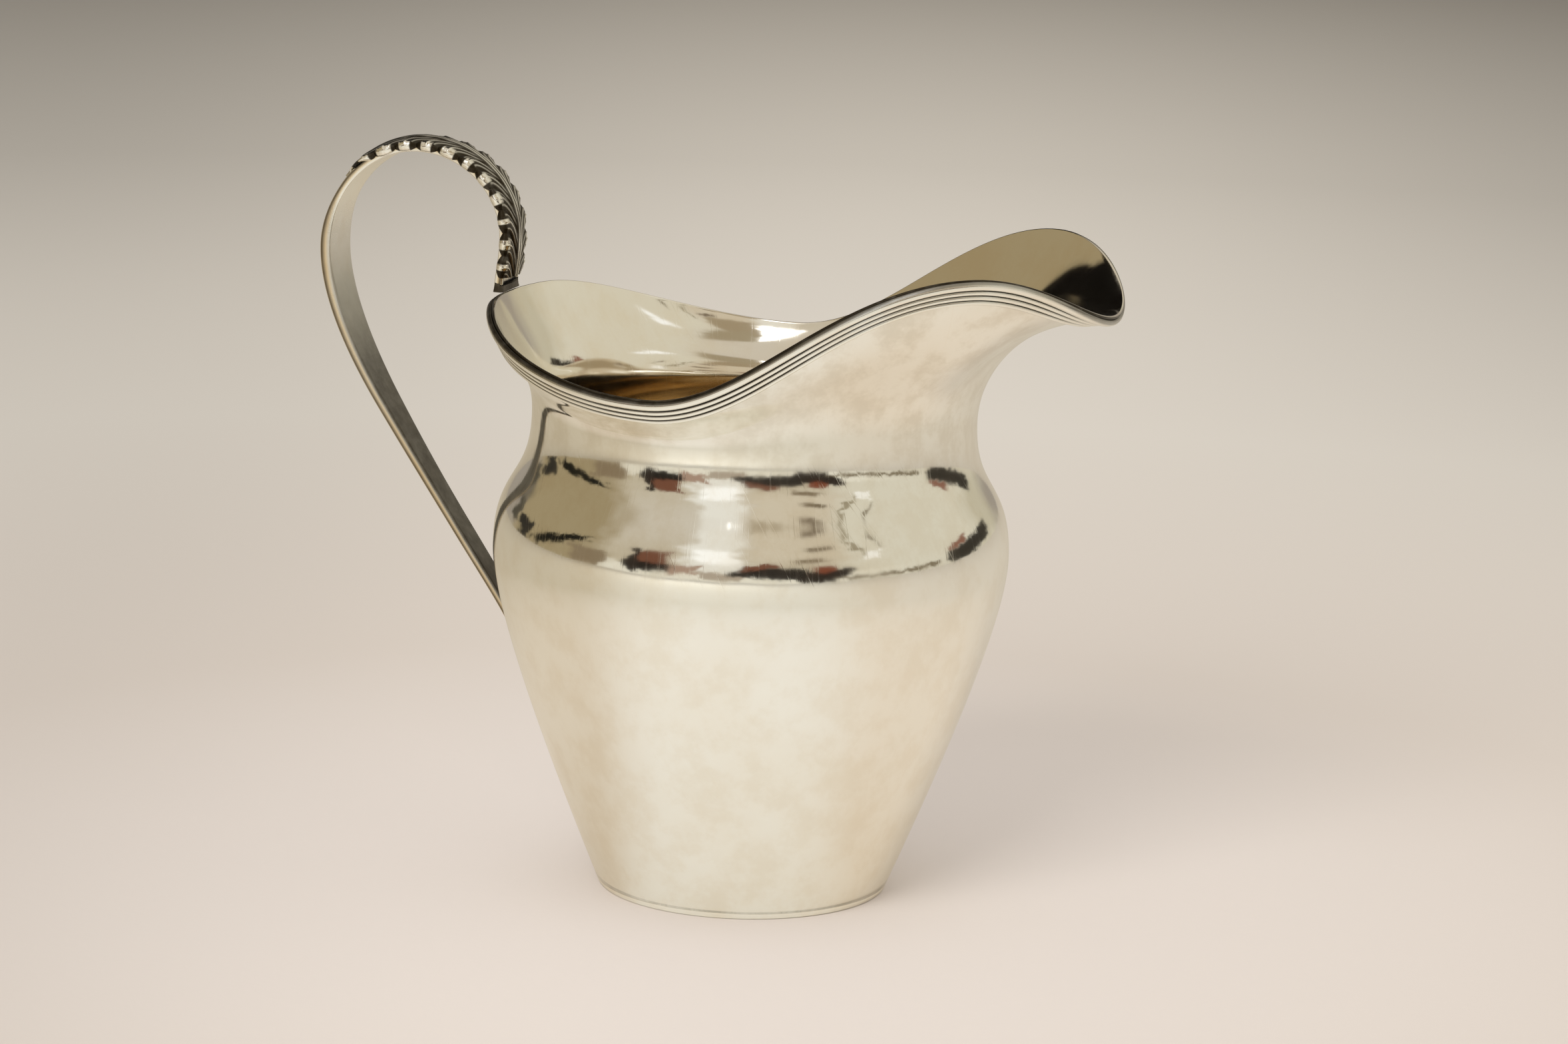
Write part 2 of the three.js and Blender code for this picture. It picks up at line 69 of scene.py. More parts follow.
# Patches of the room by direction: name, azimuth from the front, its half width, elevation, its half height,
# softness of the sides, softness of the top and bottom, lean, colour. Angles are in degrees, and the lean is
# the rise for each degree aside.
SURROUNDINGS = (
    ("right wall", 118, 60, 32, 36, 14, 10, 0, (0.68, 0.63, 0.51)),
    ("right corner", 165, 22, 14, 14, 8, 6, 0, (0.54, 0.49, 0.37)),
    ("left wall", -90, 34, 22, 32, 12, 10, 0, (0.34, 0.27, 0.155)),
    ("back wall", -158, 38, 4, 14, 8, 6, 0, (0.34, 0.3, 0.25)),
    ("ceiling", 38, 24, 40, 22, 8, 8, 0, (0.62, 0.54, 0.415)),
    ("high ceiling", 36, 23, 65, 16, 3, 2, 0, (0.36, 0.29, 0.19)),
    ("top of the room", 80, 56, 79, 10, 6, 3, 0, (0.36, 0.3, 0.2)),
    ("dark doorway", -144, 29, 30, 17, 4, 5, 0, (0.004, 0.003, 0.002)),
    ("front strip", -2, 13, 16, 36, 5, 8, 0, (0.8, 0.765, 0.685)),
    ("soft glow", 0, 9, 22, 7.5, 3, 3, 0, (1.02, 1.0, 0.95)),
    ("soft box", -8, 17, 70.5, 19.5, 2, 1.5, 0, (2.2, 2.2, 2.2)),
    ("window bar", 106, 3, 48, 10, 2, 4, 0, (1.0, 1.0, 0.98)),
    ("front cloth", 14, 68, 0, 6.5, 14, 1.2, 0, (0.78, 0.73, 0.61)),
    ("frame bar", -80, 16, 10, 3, 1, 0.8, 0.5, (0.01, 0.009, 0.006)),
    ("frame leg", -106, 6, 4, 5, 1, 1, 0, (0.03, 0.026, 0.02)),
    ("low chest", -62, 9, 5, 6, 2, 2, 0, (0.24, 0.18, 0.11)),
    ("side post", -120, 4, 7, 5, 1, 1, 0, (0.08, 0.07, 0.05)),
    ("red box", -30, 9, 13, 7, 1, 1.5, 0.3, (0.17, 0.07, 0.04)),
    ("dark shelf", -30, 12, 6, 3.5, 1, 0.8, 0.1, (0.02, 0.016, 0.012)),
    ("bottle", -37, 3, 12, 9, 0.8, 1, 0.4, (0.03, 0.022, 0.016)),
    ("red cushion", -13, 6, 7, 4, 1, 1, 0.2, (0.38, 0.26, 0.19)),
    ("low case", 3, 10, 3.5, 3, 1, 1, 0, (0.42, 0.35, 0.27)),
    ("dark case", 25, 16, 7.5, 5, 1.5, 1, -0.1, (0.03, 0.024, 0.018)),
    ("red cloth", 18, 8, 13, 2.5, 1.5, 1, 0.3, (0.17, 0.07, 0.04)),
    ("chair", 49, 11, 4.5, 5, 1.5, 1, 0.1, (0.03, 0.022, 0.016)),
    ("red stripe", 50, 4, 10, 3, 1, 1, 0, (0.2, 0.06, 0.03)),
    ("long shelf", 84, 26, 1.5, 1.2, 3, 0.8, 0, (0.2, 0.16, 0.1)),
    ("stand", 80, 1, 34, 7, 0.6, 2, 0, (0.22, 0.18, 0.12)),
    ("stand arm", 68, 1.6, 36, 16, 0.8, 3, 0, (0.32, 0.27, 0.18)),
    ("low fold", 44, 6, 19, 1.8, 2, 1.5, 0.15, (0.2, 0.15, 0.09)),
    ("fold", 48, 6, 32, 1.8, 2, 1.5, 0.15, (0.16, 0.12, 0.07)),
    ("high fold", 51, 6, 46, 1.6, 2, 1.5, 0.15, (0.14, 0.1, 0.06)),
    ("card", 74, 4, 20, 4, 0.5, 0.5, 0, (0.9, 0.87, 0.8)),
    ("cabinet", 133, 17, 4, 4.5, 1, 1, 0.12, (0.04, 0.034, 0.025)),
    ("cabinet top", 124, 7, 10, 2.4, 1, 0.8, 0.2, (0.25, 0.12, 0.08)),
)
ROOM_LOW = (0.52, 0.45, 0.33)  # between the patches, at the horizon
ROOM_HIGH = (0.62, 0.56, 0.47)  # between the patches, high up
PALE_LIGHT = (0.79, 0.775, 0.76)  # what rays meet that are not mirrored
RAGGED_AZIMUTH = 20  # degrees that the patches' sides waver
RAGGED_ELEVATION = 9  # the same for their tops and bottoms

# Colour of the floor by distance from the jug, as a share of the reach: its own pale colour near the jug,
# darkened further off as painted light falloff
FLOOR_REACH = 2.0
FLOOR_FALLOFF_TINTS = (
    (0.02, (0.87, 0.79, 0.73)),
    (0.08, (0.74, 0.66, 0.58)),
    (0.2, (0.7, 0.65, 0.575)),
    (0.45, (0.46, 0.425, 0.37)),
    (0.95, (0.2, 0.18, 0.15)),
)
POOL_GAIN = 0.45  # how much brighter the floor is in the pool of light behind the jug
PAINTED_SHADE_LOSS = 0.16  # painted shade: how much darker the floor is at the handle's side

# Colour of the floor where the silver mirrors it: to the left, to the right and straight ahead
MIRRORED_NEAR = ((0.76, 0.67, 0.55), (0.85, 0.755, 0.635), (0.91, 0.87, 0.795))
MIRRORED_FAR = ((0.56, 0.49, 0.37), (0.73, 0.665, 0.56), (0.72, 0.685, 0.595))


# Settings


def setting(kind, scale=1, **fixed):
    """A maker of settings in the sidebar: a value times the scale, with a name and a description."""

    def make(name, description, value):
        return kind(name=name, description=description, default=value * scale, **fixed)

    return make


length = setting(bpy.props.FloatProperty, MM, precision=5, unit="LENGTH")
angle = setting(bpy.props.FloatProperty, math.radians(1), unit="ROTATION")
focal_length = setting(bpy.props.FloatProperty, unit="CAMERA")
share = setting(bpy.props.FloatProperty, min=0, max=1, subtype="FACTOR")
count = setting(bpy.props.IntProperty, min=1)
colour = setting(bpy.props.FloatVectorProperty, size=3, min=0, max=1, subtype="COLOR")


def group(kind, name, description):
    """A group of settings inside another."""
    return bpy.props.PointerProperty(type=kind, name=name, description=description)


class BodySizes(bpy.types.PropertyGroup):
    """The raised body and its base."""

    wall: length("Wall", "Thickness of the body's wall", 0.6)
    base_radius: length("Base radius", "Radius of the base's underside", 21.5)
    base_thickness: length("Base thickness", "Thickness of the base plate", 0.9)
    flank_angle: angle("Flank angle", "Lean of the wall where it leaves the base", 22.5)
    belly_radius: length("Belly radius", "Largest radius of the body", 38.2)
    belly_z: length("Belly height", "Height of the largest radius", 50.9)
    shoulder_fullness: length("Shoulder fullness", "How far the belly stays upright", 11.2)
    neck_radius: length("Neck radius", "Smallest radius above the belly", 32.8)
    neck_z: length("Neck height", "Height of the neck", 71)
    neck_fullness: length("Neck fullness", "How far the shoulder is upright below the neck", 10.7)
    film: length("Solder film", "Clearance between two soldered pieces", 0.1)
    seam_fillet: length("Seam fillet", "Leg of the solder fillet inside the base", 1.2)


class RimSizes(bpy.types.PropertyGroup):
    """The waved rim and its reeded wire."""

    spout_reach: length("Spout reach", "Reach of the rim at the spout's tip", 53.9)
    spout_z: length("Spout height", "Height of the rim at the spout's tip", 89.8)
    horn_angle: angle("Horn angle", "Place of the highest part of the rim, from the spout", 36)
    horn_z: length("Horn height", "Height of the highest part of the rim", 97.6)
    side_angle: angle("Side angle", "Place of the narrowest part of the mouth", 88)
    side_reach: length("Side reach", "Reach of the rim at the narrowest part", 38.6)
    dip_angle: angle("Dip angle", "Place of the lowest part of the rim", 97)
    dip_z: length("Dip height", "Height of the lowest part of the rim", 79)
    quarter_angle: angle("Quarter angle", "Place of the fullest part behind the side", 128)
    quarter_reach: length("Quarter reach", "Reach of the rim at that place", 40.2)
    back_angle: angle("Back angle", "Where the level back of the rim begins", 165)
    back_reach: length("Back reach", "Reach of the rim under the handle", 38.4)
    back_z: length("Back height", "Height of the rim under the handle", 86.9)
    spout_slope: angle("Spout slope", "Rise of the wall at the spout's tip", 2)
    rim_slope: angle("Rim slope", "Rise of the wall at the rim behind the horns", 67)
    flare_start: share("Flare start", "Share of the neck's height that stays upright", 0.4)
    flare_end: share("Flare end", "Share of the neck's reach that keeps the edge's slope", 0.55)
    bead_width: length("Bead width", "Width of the bead along the edge", 1.2)
    bead_height: length("Bead height", "Height of the bead off the wall", 0.85)
    reed_width: length("Reed width", "Width of each reed below the bead", 0.8)
    reed_height: length("Reed height", "Height of the reeds off the wall", 0.7)
    reeds: count("Reeds", "Reeds below the bead", 3)


class HandleSizes(bpy.types.PropertyGroup):
    """The strap, its leaf and the solder at both ends."""

    top_thickness: length("Top thickness", "Thickness of the strap under the leaf", 1.2)
    thickness: length("Thickness", "Thickness of the strap at the back of the loop", 1.7)
    foot_thickness: length("Foot thickness", "Thickness of the strap at its foot", 1.3)
    top_width: length("Top width", "Width of the strap under the leaf", 7.8)
    width: length("Width", "Width of the strap at the back of the loop", 8.6)
    waist_width: length("Waist width", "Width of the strap below the grip", 5)
    foot_width: length("Foot width", "Width of the strap at its foot", 4.4)
    thread: length("Thread", "Depth of the sunk middle between the edge threads", 0.3)
    thread_width: length("Thread width", "Width of each edge thread", 1.1)
    front_rise: length("Front rise", "Loop's front above the rim", 8.1)
    top_out: length("Top out", "Loop's top behind the rim", 13.6)
    top_rise: length("Top rise", "Loop's top above the rim", 20.8)
    back_out: length("Back out", "Loop's back behind the rim", 28)
    back_rise: length("Back rise", "Loop's back above the rim", 5.1)
    grip_out: length("Grip out", "Middle of the grip behind the rim", 19)
    grip_drop: length("Grip drop", "Middle of the grip below the rim", 18.5)
    grip_angle: angle("Grip angle", "Fall of the straight grip", 58)
    foot_drop: length("Foot drop", "Foot of the strap below the belly", 17.9)
    leaf_start: length("Leaf start", "Start of the leaf along the strap", 2.2)
    leaf_length: length("Leaf length", "Length of the leaf along the strap", 40)
    leaf_edge: length("Leaf edge", "Thickness of the leaf at its notches", 0.35)
    leaf_lobe: length("Leaf lobe", "Swell of each lobe past a notch", 0.4)
    leaf_rise: length("Leaf rise", "Height of the leaf off the strap", 0.85)
    leaf_tip: length("Leaf tip", "Length of the narrowing tip", 3.5)
    leaf_tip_width: length("Leaf tip width", "Width of the leaf's end", 2)
    lobes: count("Lobes", "Lobes on each side of the leaf", 12)
    fillet: length("Fillet", "Leg of the solder collar on the rim", 0.6)
    fillet_height: length("Fillet height", "Height of the solder collar", 1.5)
    foot_gap: length("Foot gap", "Gap off the wall where the foot's solder ends", 1.6)


class Finish(bpy.types.PropertyGroup):
    """Colours of the silver and its tarnish."""

    silver: colour("Silver", "Bright silver", (0.95, 0.945, 0.9))
    warm: colour("Warm silver", "Silver under a thin yellow film", (0.92, 0.88, 0.79))
    # a darker yellow-brown on the inner face, most below the neck, and on the outer edges of the strap's
    # threads
    gilt: colour("Gilt film", "Yellow film in the depth of the jug", (0.72, 0.56, 0.33))
    haze: colour("Haze", "Silver dulled by a grey haze", (0.76, 0.72, 0.635))
    # also the colour of the painted shade along the top of the body's edge
    tarnish: colour("Tarnish", "Brown tarnish in grooves", (0.045, 0.036, 0.024))
    solder: colour("Solder", "Dull solder", (0.5, 0.46, 0.39))
    gloss: share("Roughness", "Roughness of the polished silver", 0.06)


class Studio(bpy.types.PropertyGroup):
    """Floor, light and camera."""

    lens: focal_length("Lens", "Focal length of the camera", 105.525)
    distance: length("Distance", "Camera to the middle of the view", 680)
    azimuth: angle("Azimuth", "Camera's place round the jug, from the front", 15.641)
    elevation: angle("Elevation", "Camera's height above level", 11.348)
    roll: angle("Roll", "Turn of the camera about its own axis", 1.74)
    aim_z: length("Aim height", "Height on the jug's axis that the camera is set out from", 58)
    aim_right: length("Aim right", "Middle of the view to the right of that place", 4.691)
    aim_down: length("Aim down", "Middle of the view below that place", 3.118)


class MilkJug(bpy.types.PropertyGroup):
    """All settings of the jug."""

    body: group(BodySizes, "Body", "Body and base")
    rim: group(RimSizes, "Rim", "Rim and wire")
    handle: group(HandleSizes, "Handle", "Strap and leaf")
    finish: group(Finish, "Finish", "Silver colours")
    studio: group(Studio, "Studio", "Floor and camera")


# Curves


def eased(at, values, place):
    """Values at places between stations, with half a cosine wave from each to the next."""
    at, values = np.array(at, float), np.array(values, float)
    i = np.clip(np.searchsorted(at, place), 1, len(at) - 1)
    part = np.clip((place - at[i - 1]) / (at[i] - at[i - 1]), 0, 1)
    return values[i - 1] + (values[i] - values[i - 1]) * (1 - np.cos(np.pi * part)) / 2


def smooth(low, high, value):
    """0 up to low, 1 from high on, and an S-shaped cubic between. Where low is the greater, it falls."""
    part = np.clip((value - low) / (high - low), 0, 1)
    return part * part * (3 - 2 * part)


def bell(off, width):
    """1 in the middle, and less by a Gaussian of that width further off."""
    return np.exp(-((off / width) ** 2))


def bezier(points, t):
    """Point of a Bezier curve: neighbours among its control points are mixed by t until one is left."""
    while len(points) > 1:
        points = [a + (b - a) * t for a, b in zip(points, points[1:])]
    return points[0]


def chord_sum(rows):
    """Length along rows of points up to each row: the sum of the chords before it."""
    chord = np.linalg.norm(np.diff(rows, axis=0), axis=-1)
    return np.concatenate([np.zeros_like(chord[:1]), np.cumsum(chord, axis=0)])


def outward(rows):
    """Unit normals of rows of points (reach, height): the slope along the rows, turned outwards."""
    slope = np.gradient(rows, axis=0)
    normal = np.stack([slope[..., 1], -slope[..., 0]], -1)
    return normal / np.linalg.norm(normal, axis=-1, keepdims=True)


def columns(number=ROUND):
    """Even angles round the jug, from the spout."""
    return 2 * np.pi * np.arange(number) / number


def from_spout(turn):
    """Angle from the spout, the same on both sides."""
    return np.abs(np.mod(turn + np.pi, 2 * np.pi) - np.pi)


def rim_reach(rim, turn):
    """Reach of the rim, eased from the spout over the sides and quarters to the back."""
    angles = 0, rim.side_angle, rim.quarter_angle, rim.back_angle
    reaches = rim.spout_reach, rim.side_reach, rim.quarter_reach, rim.back_reach
    return eased(angles, reaches, from_spout(turn))


def rim_height(rim, turn):
    """Height of the rim, eased from the spout over the horns and dips to the back."""
    angles = 0, rim.horn_angle, rim.dip_angle, rim.back_angle
    heights = rim.spout_z, rim.horn_z, rim.dip_z, rim.back_z
    return eased(angles, heights, from_spout(turn))


def edge_slope(rim, turn):
    """Rise of the wall at the rim, eased from the spout to the horns and even behind them."""
    return eased((0, rim.horn_angle), (rim.spout_slope, rim.rim_slope), from_spout(turn))


def climb_stretch(rim, turn):
    """Distance down the wall for each unit square to the rim, which is more where the rim climbs."""
    step = 1e-3
    climb = (rim_height(rim, turn + step) - rim_height(rim, turn - step)) / (2 * step)
    return np.hypot(1, climb / rim_reach(rim, turn))


def flank_lean(body):
    """Outward run of the wall for each unit of rise where it leaves the base."""
    return math.tan(body.flank_angle)


def wall_foot(body):
    """Reach and height of the outer face where the wall stands on the base."""
    z = body.base_thickness + body.film
    return np.array([body.base_radius + z * flank_lean(body), z])


def lower_wall(body, steps=WALL_ROWS):
    """Outer face up to the neck: a quadratic Bezier flank and a cubic Bezier shoulder, as (rows, 2)."""
    rise = (body.belly_radius - body.base_radius) / flank_lean(body)
    belly = np.array([body.belly_radius, body.belly_z])
    neck = np.array([body.neck_radius, body.neck_z])
    t = np.linspace(0, 1, steps)[:, None]
    flank = bezier([wall_foot(body), np.array([body.belly_radius, rise]), belly], t)
    shoulder = bezier(
        [belly, belly + [0, body.shoulder_fullness], neck - [0, body.neck_fullness], neck], t[1:]
    )
    return np.concatenate([flank, shoulder])


def wall_at(body, z):
    """Place and outward normal of the outer face at a height below the belly."""
    rows = lower_wall(body, FINE_ROWS)
    normal = outward(rows)[:FINE_ROWS]
    rows = rows[:FINE_ROWS]
    reach = np.interp(z, rows[:, 1], rows[:, 0])
    return np.array([reach, z]), np.array([np.interp(z, rows[:, 1], normal[:, k]) for k in (0, 1)])


def flare(jug, turn):
    """Outer face above the neck, as (steps, columns, 2): a cubic Bezier that leaves the neck upright and
    ends a wall's thickness outside the rim's edge, at the edge's slope."""
    body, rim = jug.body, jug.rim
    slope = edge_slope(rim, turn)
    along = np.stack([np.cos(slope), np.sin(slope)], -1)
    edge = np.stack([rim_reach(rim, turn), rim_height(rim, turn)], -1)
    end = edge + body.wall * np.stack([along[:, 1], -along[:, 0]], -1)
    neck = np.broadcast_to([body.neck_radius, body.neck_z], end.shape)
    upright = np.zeros_like(end)
    upright[:, 1] = rim.flare_start * (end - neck)[:, 1]
    chord = np.linalg.norm(end - neck, axis=-1, keepdims=True)
    controls = [neck, neck + upright, end - rim.flare_end * chord * along, end]
    return bezier(controls, np.linspace(0, 1, FLARE_STEPS)[:, None, None])


def below_edge(jug, turn, distance):
    """Points and normals of the outer face at distances down the wall from the rim's edge, and the length
    of the flare.

    distance is (rows, columns). The flare is measured by the sum of its short chords, and each place is
    found between two of its points. Columns are told apart by adding a large step to each one's measure."""
    face = flare(jug, turn)
    normal = outward(face)
    measure = chord_sum(face)
    step = 10 * measure.max()
    column = np.arange(len(turn))
    wanted = np.clip(measure[-1] - distance, 0, measure[-1])
    flat = (measure + step * column).T.ravel()
    place = np.searchsorted(flat, wanted + step * column) - column * len(face)
    i = np.clip(place, 1, len(face) - 1)
    low = np.take_along_axis(measure, i - 1, 0)
    high = np.take_along_axis(measure, i, 0)
    part = ((wanted - low) / (high - low))[..., None]

    def between(rows):
        first = np.take_along_axis(rows, (i - 1)[..., None], 0)
        second = np.take_along_axis(rows, i[..., None], 0)
        return first + (second - first) * part

    out = between(normal)
    return between(face), out / np.linalg.norm(out, axis=-1, keepdims=True), measure[-1]


class Strap:
    """Middle line of the strap in the XZ plane, and the strap's sizes along it.

    Five cubic Beziers run through the seat on the rim, the loop's front, top and back, the grip and the
    foot. Places along the strap are shares of its length from the rim."""

    def __init__(self, jug):
        body, rim, handle = jug.body, jug.rim, jug.handle
        reach, z = rim.back_reach, rim.back_z
        depth = (body.wall + body.film + rim.bead_height) * math.sin(rim.rim_slope)
        seat = np.array([-reach - depth / 2, z + body.film])
        front = np.array([-reach, z + handle.front_rise])
        top = np.array([-reach - handle.top_out, z + handle.top_rise])
        back = np.array([-reach - handle.back_out, z + handle.back_rise])
        grip = np.array([-reach - handle.grip_out, z - handle.grip_drop])
        fall = np.array([math.cos(handle.grip_angle), -math.sin(handle.grip_angle)])
        wall, normal = wall_at(body, body.belly_z - handle.foot_drop)
        off = np.array([-normal[0], normal[1]])
        foot = np.array([-wall[0], wall[1]]) + off * (body.film + handle.foot_thickness / 2)
        down = np.array([-normal[1], -normal[0]])
        across, up = np.eye(2)
        rise, drop, run = front[1] - seat[1], back[1] - grip[1], np.linalg.norm(grip - foot)
        ahead, behind = QUARTER_PULL * (front - top), QUARTER_PULL * (top - back)
        curves = [
            [seat, seat + up * rise * 0.3, front - up * rise * 0.4, front],
            [front, front - up * ahead[1], top + across * ahead[0], top],
            [top, top - across * behind[0], back + up * behind[1], back],
            [back, back - up * drop * 0.3, grip - fall * drop * 0.4, grip],
            [grip, grip + fall * run * 0.6, foot - down * run * 0.15, foot],
        ]
        t = np.linspace(0, 1, CURVE_STEPS)[:, None]
        self.handle = handle
        self.line = np.concatenate([bezier(curve, t) for curve in curves])
        self.run = chord_sum(self.line)
        self.length = self.run[-1]
        self.leaf_end = (handle.leaf_start + handle.leaf_length) / self.length
        self.loop, self.grip = (self.run[k * CURVE_STEPS - 1] / self.length for k in (3, 4))
        self.waist = (self.grip + 1) / 2

    def evenly(self, number):
        """Places (x, z) and outward normals at even lengths."""
        even = np.linspace(0, self.length, number)
        place = np.stack([np.interp(even, self.run, self.line[:, k]) for k in (0, 1)], -1)
        return place, outward(place)

    def at(self, along):
        """Places (x, z) and outward normals at shares of the length, between even places."""
        even = np.linspace(0, 1, LINE_STEPS)
        return [
            np.stack([np.interp(along, even, rows[:, k]) for k in (0, 1)], -1)
            for rows in self.evenly(LINE_STEPS)
        ]

    def width(self, along):
        """Width, eased from the leaf's end over the loop's back and the waist to the foot."""
        handle = self.handle
        widths = handle.top_width, handle.width, handle.waist_width, handle.foot_width
        return eased((self.leaf_end, self.loop, self.waist, 1), widths, along)

    def thickness(self, along):
        """Thickness, eased from the leaf's end over the loop's back to the foot."""
        handle = self.handle
        sizes = handle.top_thickness, handle.thickness, handle.foot_thickness
        return eased((self.leaf_end, self.loop, 1), sizes, along)


# Meshes


def all_round(profile, turn):
    """A profile (reach, height) that is the same in every column."""
    return np.broadcast_to(profile[:, None], (len(profile), len(turn), 2))


def spin(profile, turn):
    """Places (reach, height) of each column, carried round the jug by its angle."""
    reach, height = profile[..., 0], profile[..., 1]
    return np.stack([reach * np.cos(turn), reach * np.sin(turn), height], -1)


def off_line(place, normal, y, height):
    """Points at sideways places y and heights off places (x, z) of a line in the XZ plane."""
    lifted = place + normal * height[..., None]
    return np.stack([lifted[..., 0], y, lifted[..., 1]], -1)


def mirrored(half, sign=1):
    """Columns of a half section, then those between its ends once more, backwards and times the sign."""
    return np.concatenate([half, sign * half[:, -2:0:-1]], 1)


def surface_places(rows, cols):
    """Surface coordinates of a grid: each place along its rows with each place along its columns."""
    return np.stack(np.meshgrid(rows, cols, indexing="ij"), -1)


def grid_object(name, points, closed_rows=False, capped=False, uv=None, **values):
    """An object from a grid of points (rows, columns, 3) whose columns close on themselves.

    Rows may close too, or end in flat caps. uv holds a place for each corner of the grid, with one more
    column, and one more row where rows close. Each further value is stored on the points under its name."""
    rows, cols = points.shape[:2]
    spans = rows if closed_rows else rows - 1
    i, j = np.meshgrid(np.arange(spans), np.arange(cols), indexing="ij")
    corners = np.stack([[i, j], [i, j + 1], [i + 1, j + 1], [i + 1, j]], -1).reshape(2, -1, 4)
    faces = (corners[0] % rows) * cols + corners[1] % cols
    flat = points.reshape(-1, 3)
    a, b, c, d = (flat[faces[:, k]] for k in range(4))
    volume = np.einsum("ij,ij->", a, np.cross(b, c)) + np.einsum("ij,ij->", a, np.cross(c, d))
    ring = np.arange(cols)
    ends = [ring[::-1], (rows - 1) * cols + ring] if capped else []
    for end in ends:
        volume += flat[end].mean(0) @ np.cross(flat[end], flat[np.roll(end, -1)]).sum(0)
    way = -1 if volume < 0 else 1  # faces that point inwards are turned round
    loops = np.concatenate([faces[:, ::way].ravel(), *(end[::way] for end in ends)])
    totals = np.repeat([4, cols], [len(faces), len(ends)])
    starts = np.concatenate([[0], np.cumsum(totals)[:-1]])
    mesh = bpy.data.meshes.new(name)
    mesh.vertices.add(rows * cols)
    mesh.vertices.foreach_set("co", flat.astype(np.float32).ravel())
    mesh.loops.add(len(loops))
    mesh.loops.foreach_set("vertex_index", loops.astype(np.int32))
    mesh.polygons.add(len(totals))
    mesh.polygons.foreach_set("loop_start", starts.astype(np.int32))
    mesh.polygons.foreach_set("use_smooth", totals == 4)
    if uv is not None:
        places = np.zeros((len(loops), 2), np.float32)
        places[: len(faces) * 4] = uv[corners[0], corners[1]][:, ::way].reshape(-1, 2)
        mesh.uv_layers.new(name="surface").data.foreach_set("uv", places.ravel())
    for key, value in values.items():
        layer = mesh.attributes.new(key, "FLOAT", "POINT")
        layer.data.foreach_set("value", value.astype(np.float32).ravel())
    mesh.update(calc_edges=True)
    mesh.validate()
    made = bpy.data.objects.new(name, mesh)
    bpy.context.scene.collection.objects.link(made)
    return made


def seat_piece(made, material, node):
    """Gives a piece its material, lets it ride with the jug, has it stand for its CAD node, and ends."""
    made.data.materials.append(material)
    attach(made, "root")
    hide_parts(node)
    return {"FINISHED"}


# Shaders


class Signal:
    """An output socket of a node tree. Arithmetic on it adds Math nodes."""

    def __init__(self, tree, socket):
        self.tree = tree
        self.socket = socket

    def math(self, operation, *others):
        """This value and others, joined by a Math node."""
        values = dict(enumerate((self, *others)))
        return add_node(self.tree, "ShaderNodeMath", values, {"operation": operation})

    def __add__(self, other):
        return self.math("ADD", other)

    def __sub__(self, other):
        return self.math("SUBTRACT", other)

    def __mul__(self, other):
        return self.math("MULTIPLY", other)

    def __truediv__(self, other):
        return self.math("DIVIDE", other)

    def __rsub__(self, other):
        return self * -1 + other

    __radd__ = __add__
    __rmul__ = __mul__

    def between(self, low, high):
        """0 at low, 1 at high, and smooth between them."""
        return add_node(
            self.tree,
            "ShaderNodeMapRange",
            {"Value": self, "From Min": low, "From Max": high},
            {"interpolation_type": "SMOOTHSTEP"},
        )


def add_node(tree, kind, inputs=None, settings=None, output=0):
    """A node of that kind with its settings and inputs, as one of its outputs. Ramp stops are pairs of a
    place and a colour."""
    node = tree.nodes.new(kind)
    for key, value in (settings or {}).items():
        if key != "stops":
            setattr(node, key, value)
            continue
        elements = node.color_ramp.elements
        while len(elements) < len(value):
            elements.new(0.5)
        for element, (place, shade) in zip(elements, value):
            element.position = place
            element.color = (*shade, 1)
    for key, value in (inputs or {}).items():
        socket = node.inputs[key]
        if isinstance(value, Signal):
            tree.links.new(value.socket, socket)
        elif socket.type == "RGBA" and len(value) == 3:
            socket.default_value = (*value, 1)
        else:
            socket.default_value = value
    return Signal(tree, node.outputs[output])


def split(tree, vector):
    """The three parts of a vector."""
    return [add_node(tree, "ShaderNodeSeparateXYZ", {0: vector}, output=axis) for axis in "XYZ"]


def mix_colour(tree, part, first, second):
    """A colour between two, by a share."""
    return add_node(tree, "ShaderNodeMix", {0: part, 6: first, 7: second}, {"data_type": "RGBA"}, 2)


def noise(tree, vector, scale, detail, roughness, stretch=None):
    """Noise from 0 to 1 on a vector, which may be stretched first."""
    if stretch:
        vector = add_node(tree, "ShaderNodeMapping", {"Vector": vector, "Scale": stretch})
    return add_node(
        tree,
        "ShaderNodeTexNoise",
        {"Vector": vector, "Scale": scale, "Detail": detail, "Roughness": roughness},
    )


def value_of(tree, name):
    """A value stored on the points of the mesh."""
    return add_node(tree, "ShaderNodeAttribute", settings={"attribute_name": name}, output="Fac")


def is_mirrored(tree):
    """1 for rays that a mirroring surface has sent on, and 0 for others."""
    return add_node(tree, "ShaderNodeLightPath", output="Is Glossy Ray")


def new_material(name):
    """An empty node material, its tree and the place on the object."""
    material = bpy.data.materials.new(name)
    material.use_nodes = True
    tree = material.node_tree
    tree.nodes.clear()
    return material, tree, add_node(tree, "ShaderNodeTexCoord", output="Object")


def close_material(tree, relief, strength, depth, inputs):
    """Ends a material in one surface with those inputs, raised by a relief of that depth in metres."""
    bump = add_node(tree, "ShaderNodeBump", {"Height": relief, "Strength": strength, "Distance": depth})
    surface = add_node(tree, "ShaderNodeBsdfPrincipled", {**inputs, "Normal": bump})
    output = tree.nodes.new("ShaderNodeOutputMaterial")
    tree.links.new(surface.socket, output.inputs["Surface"])


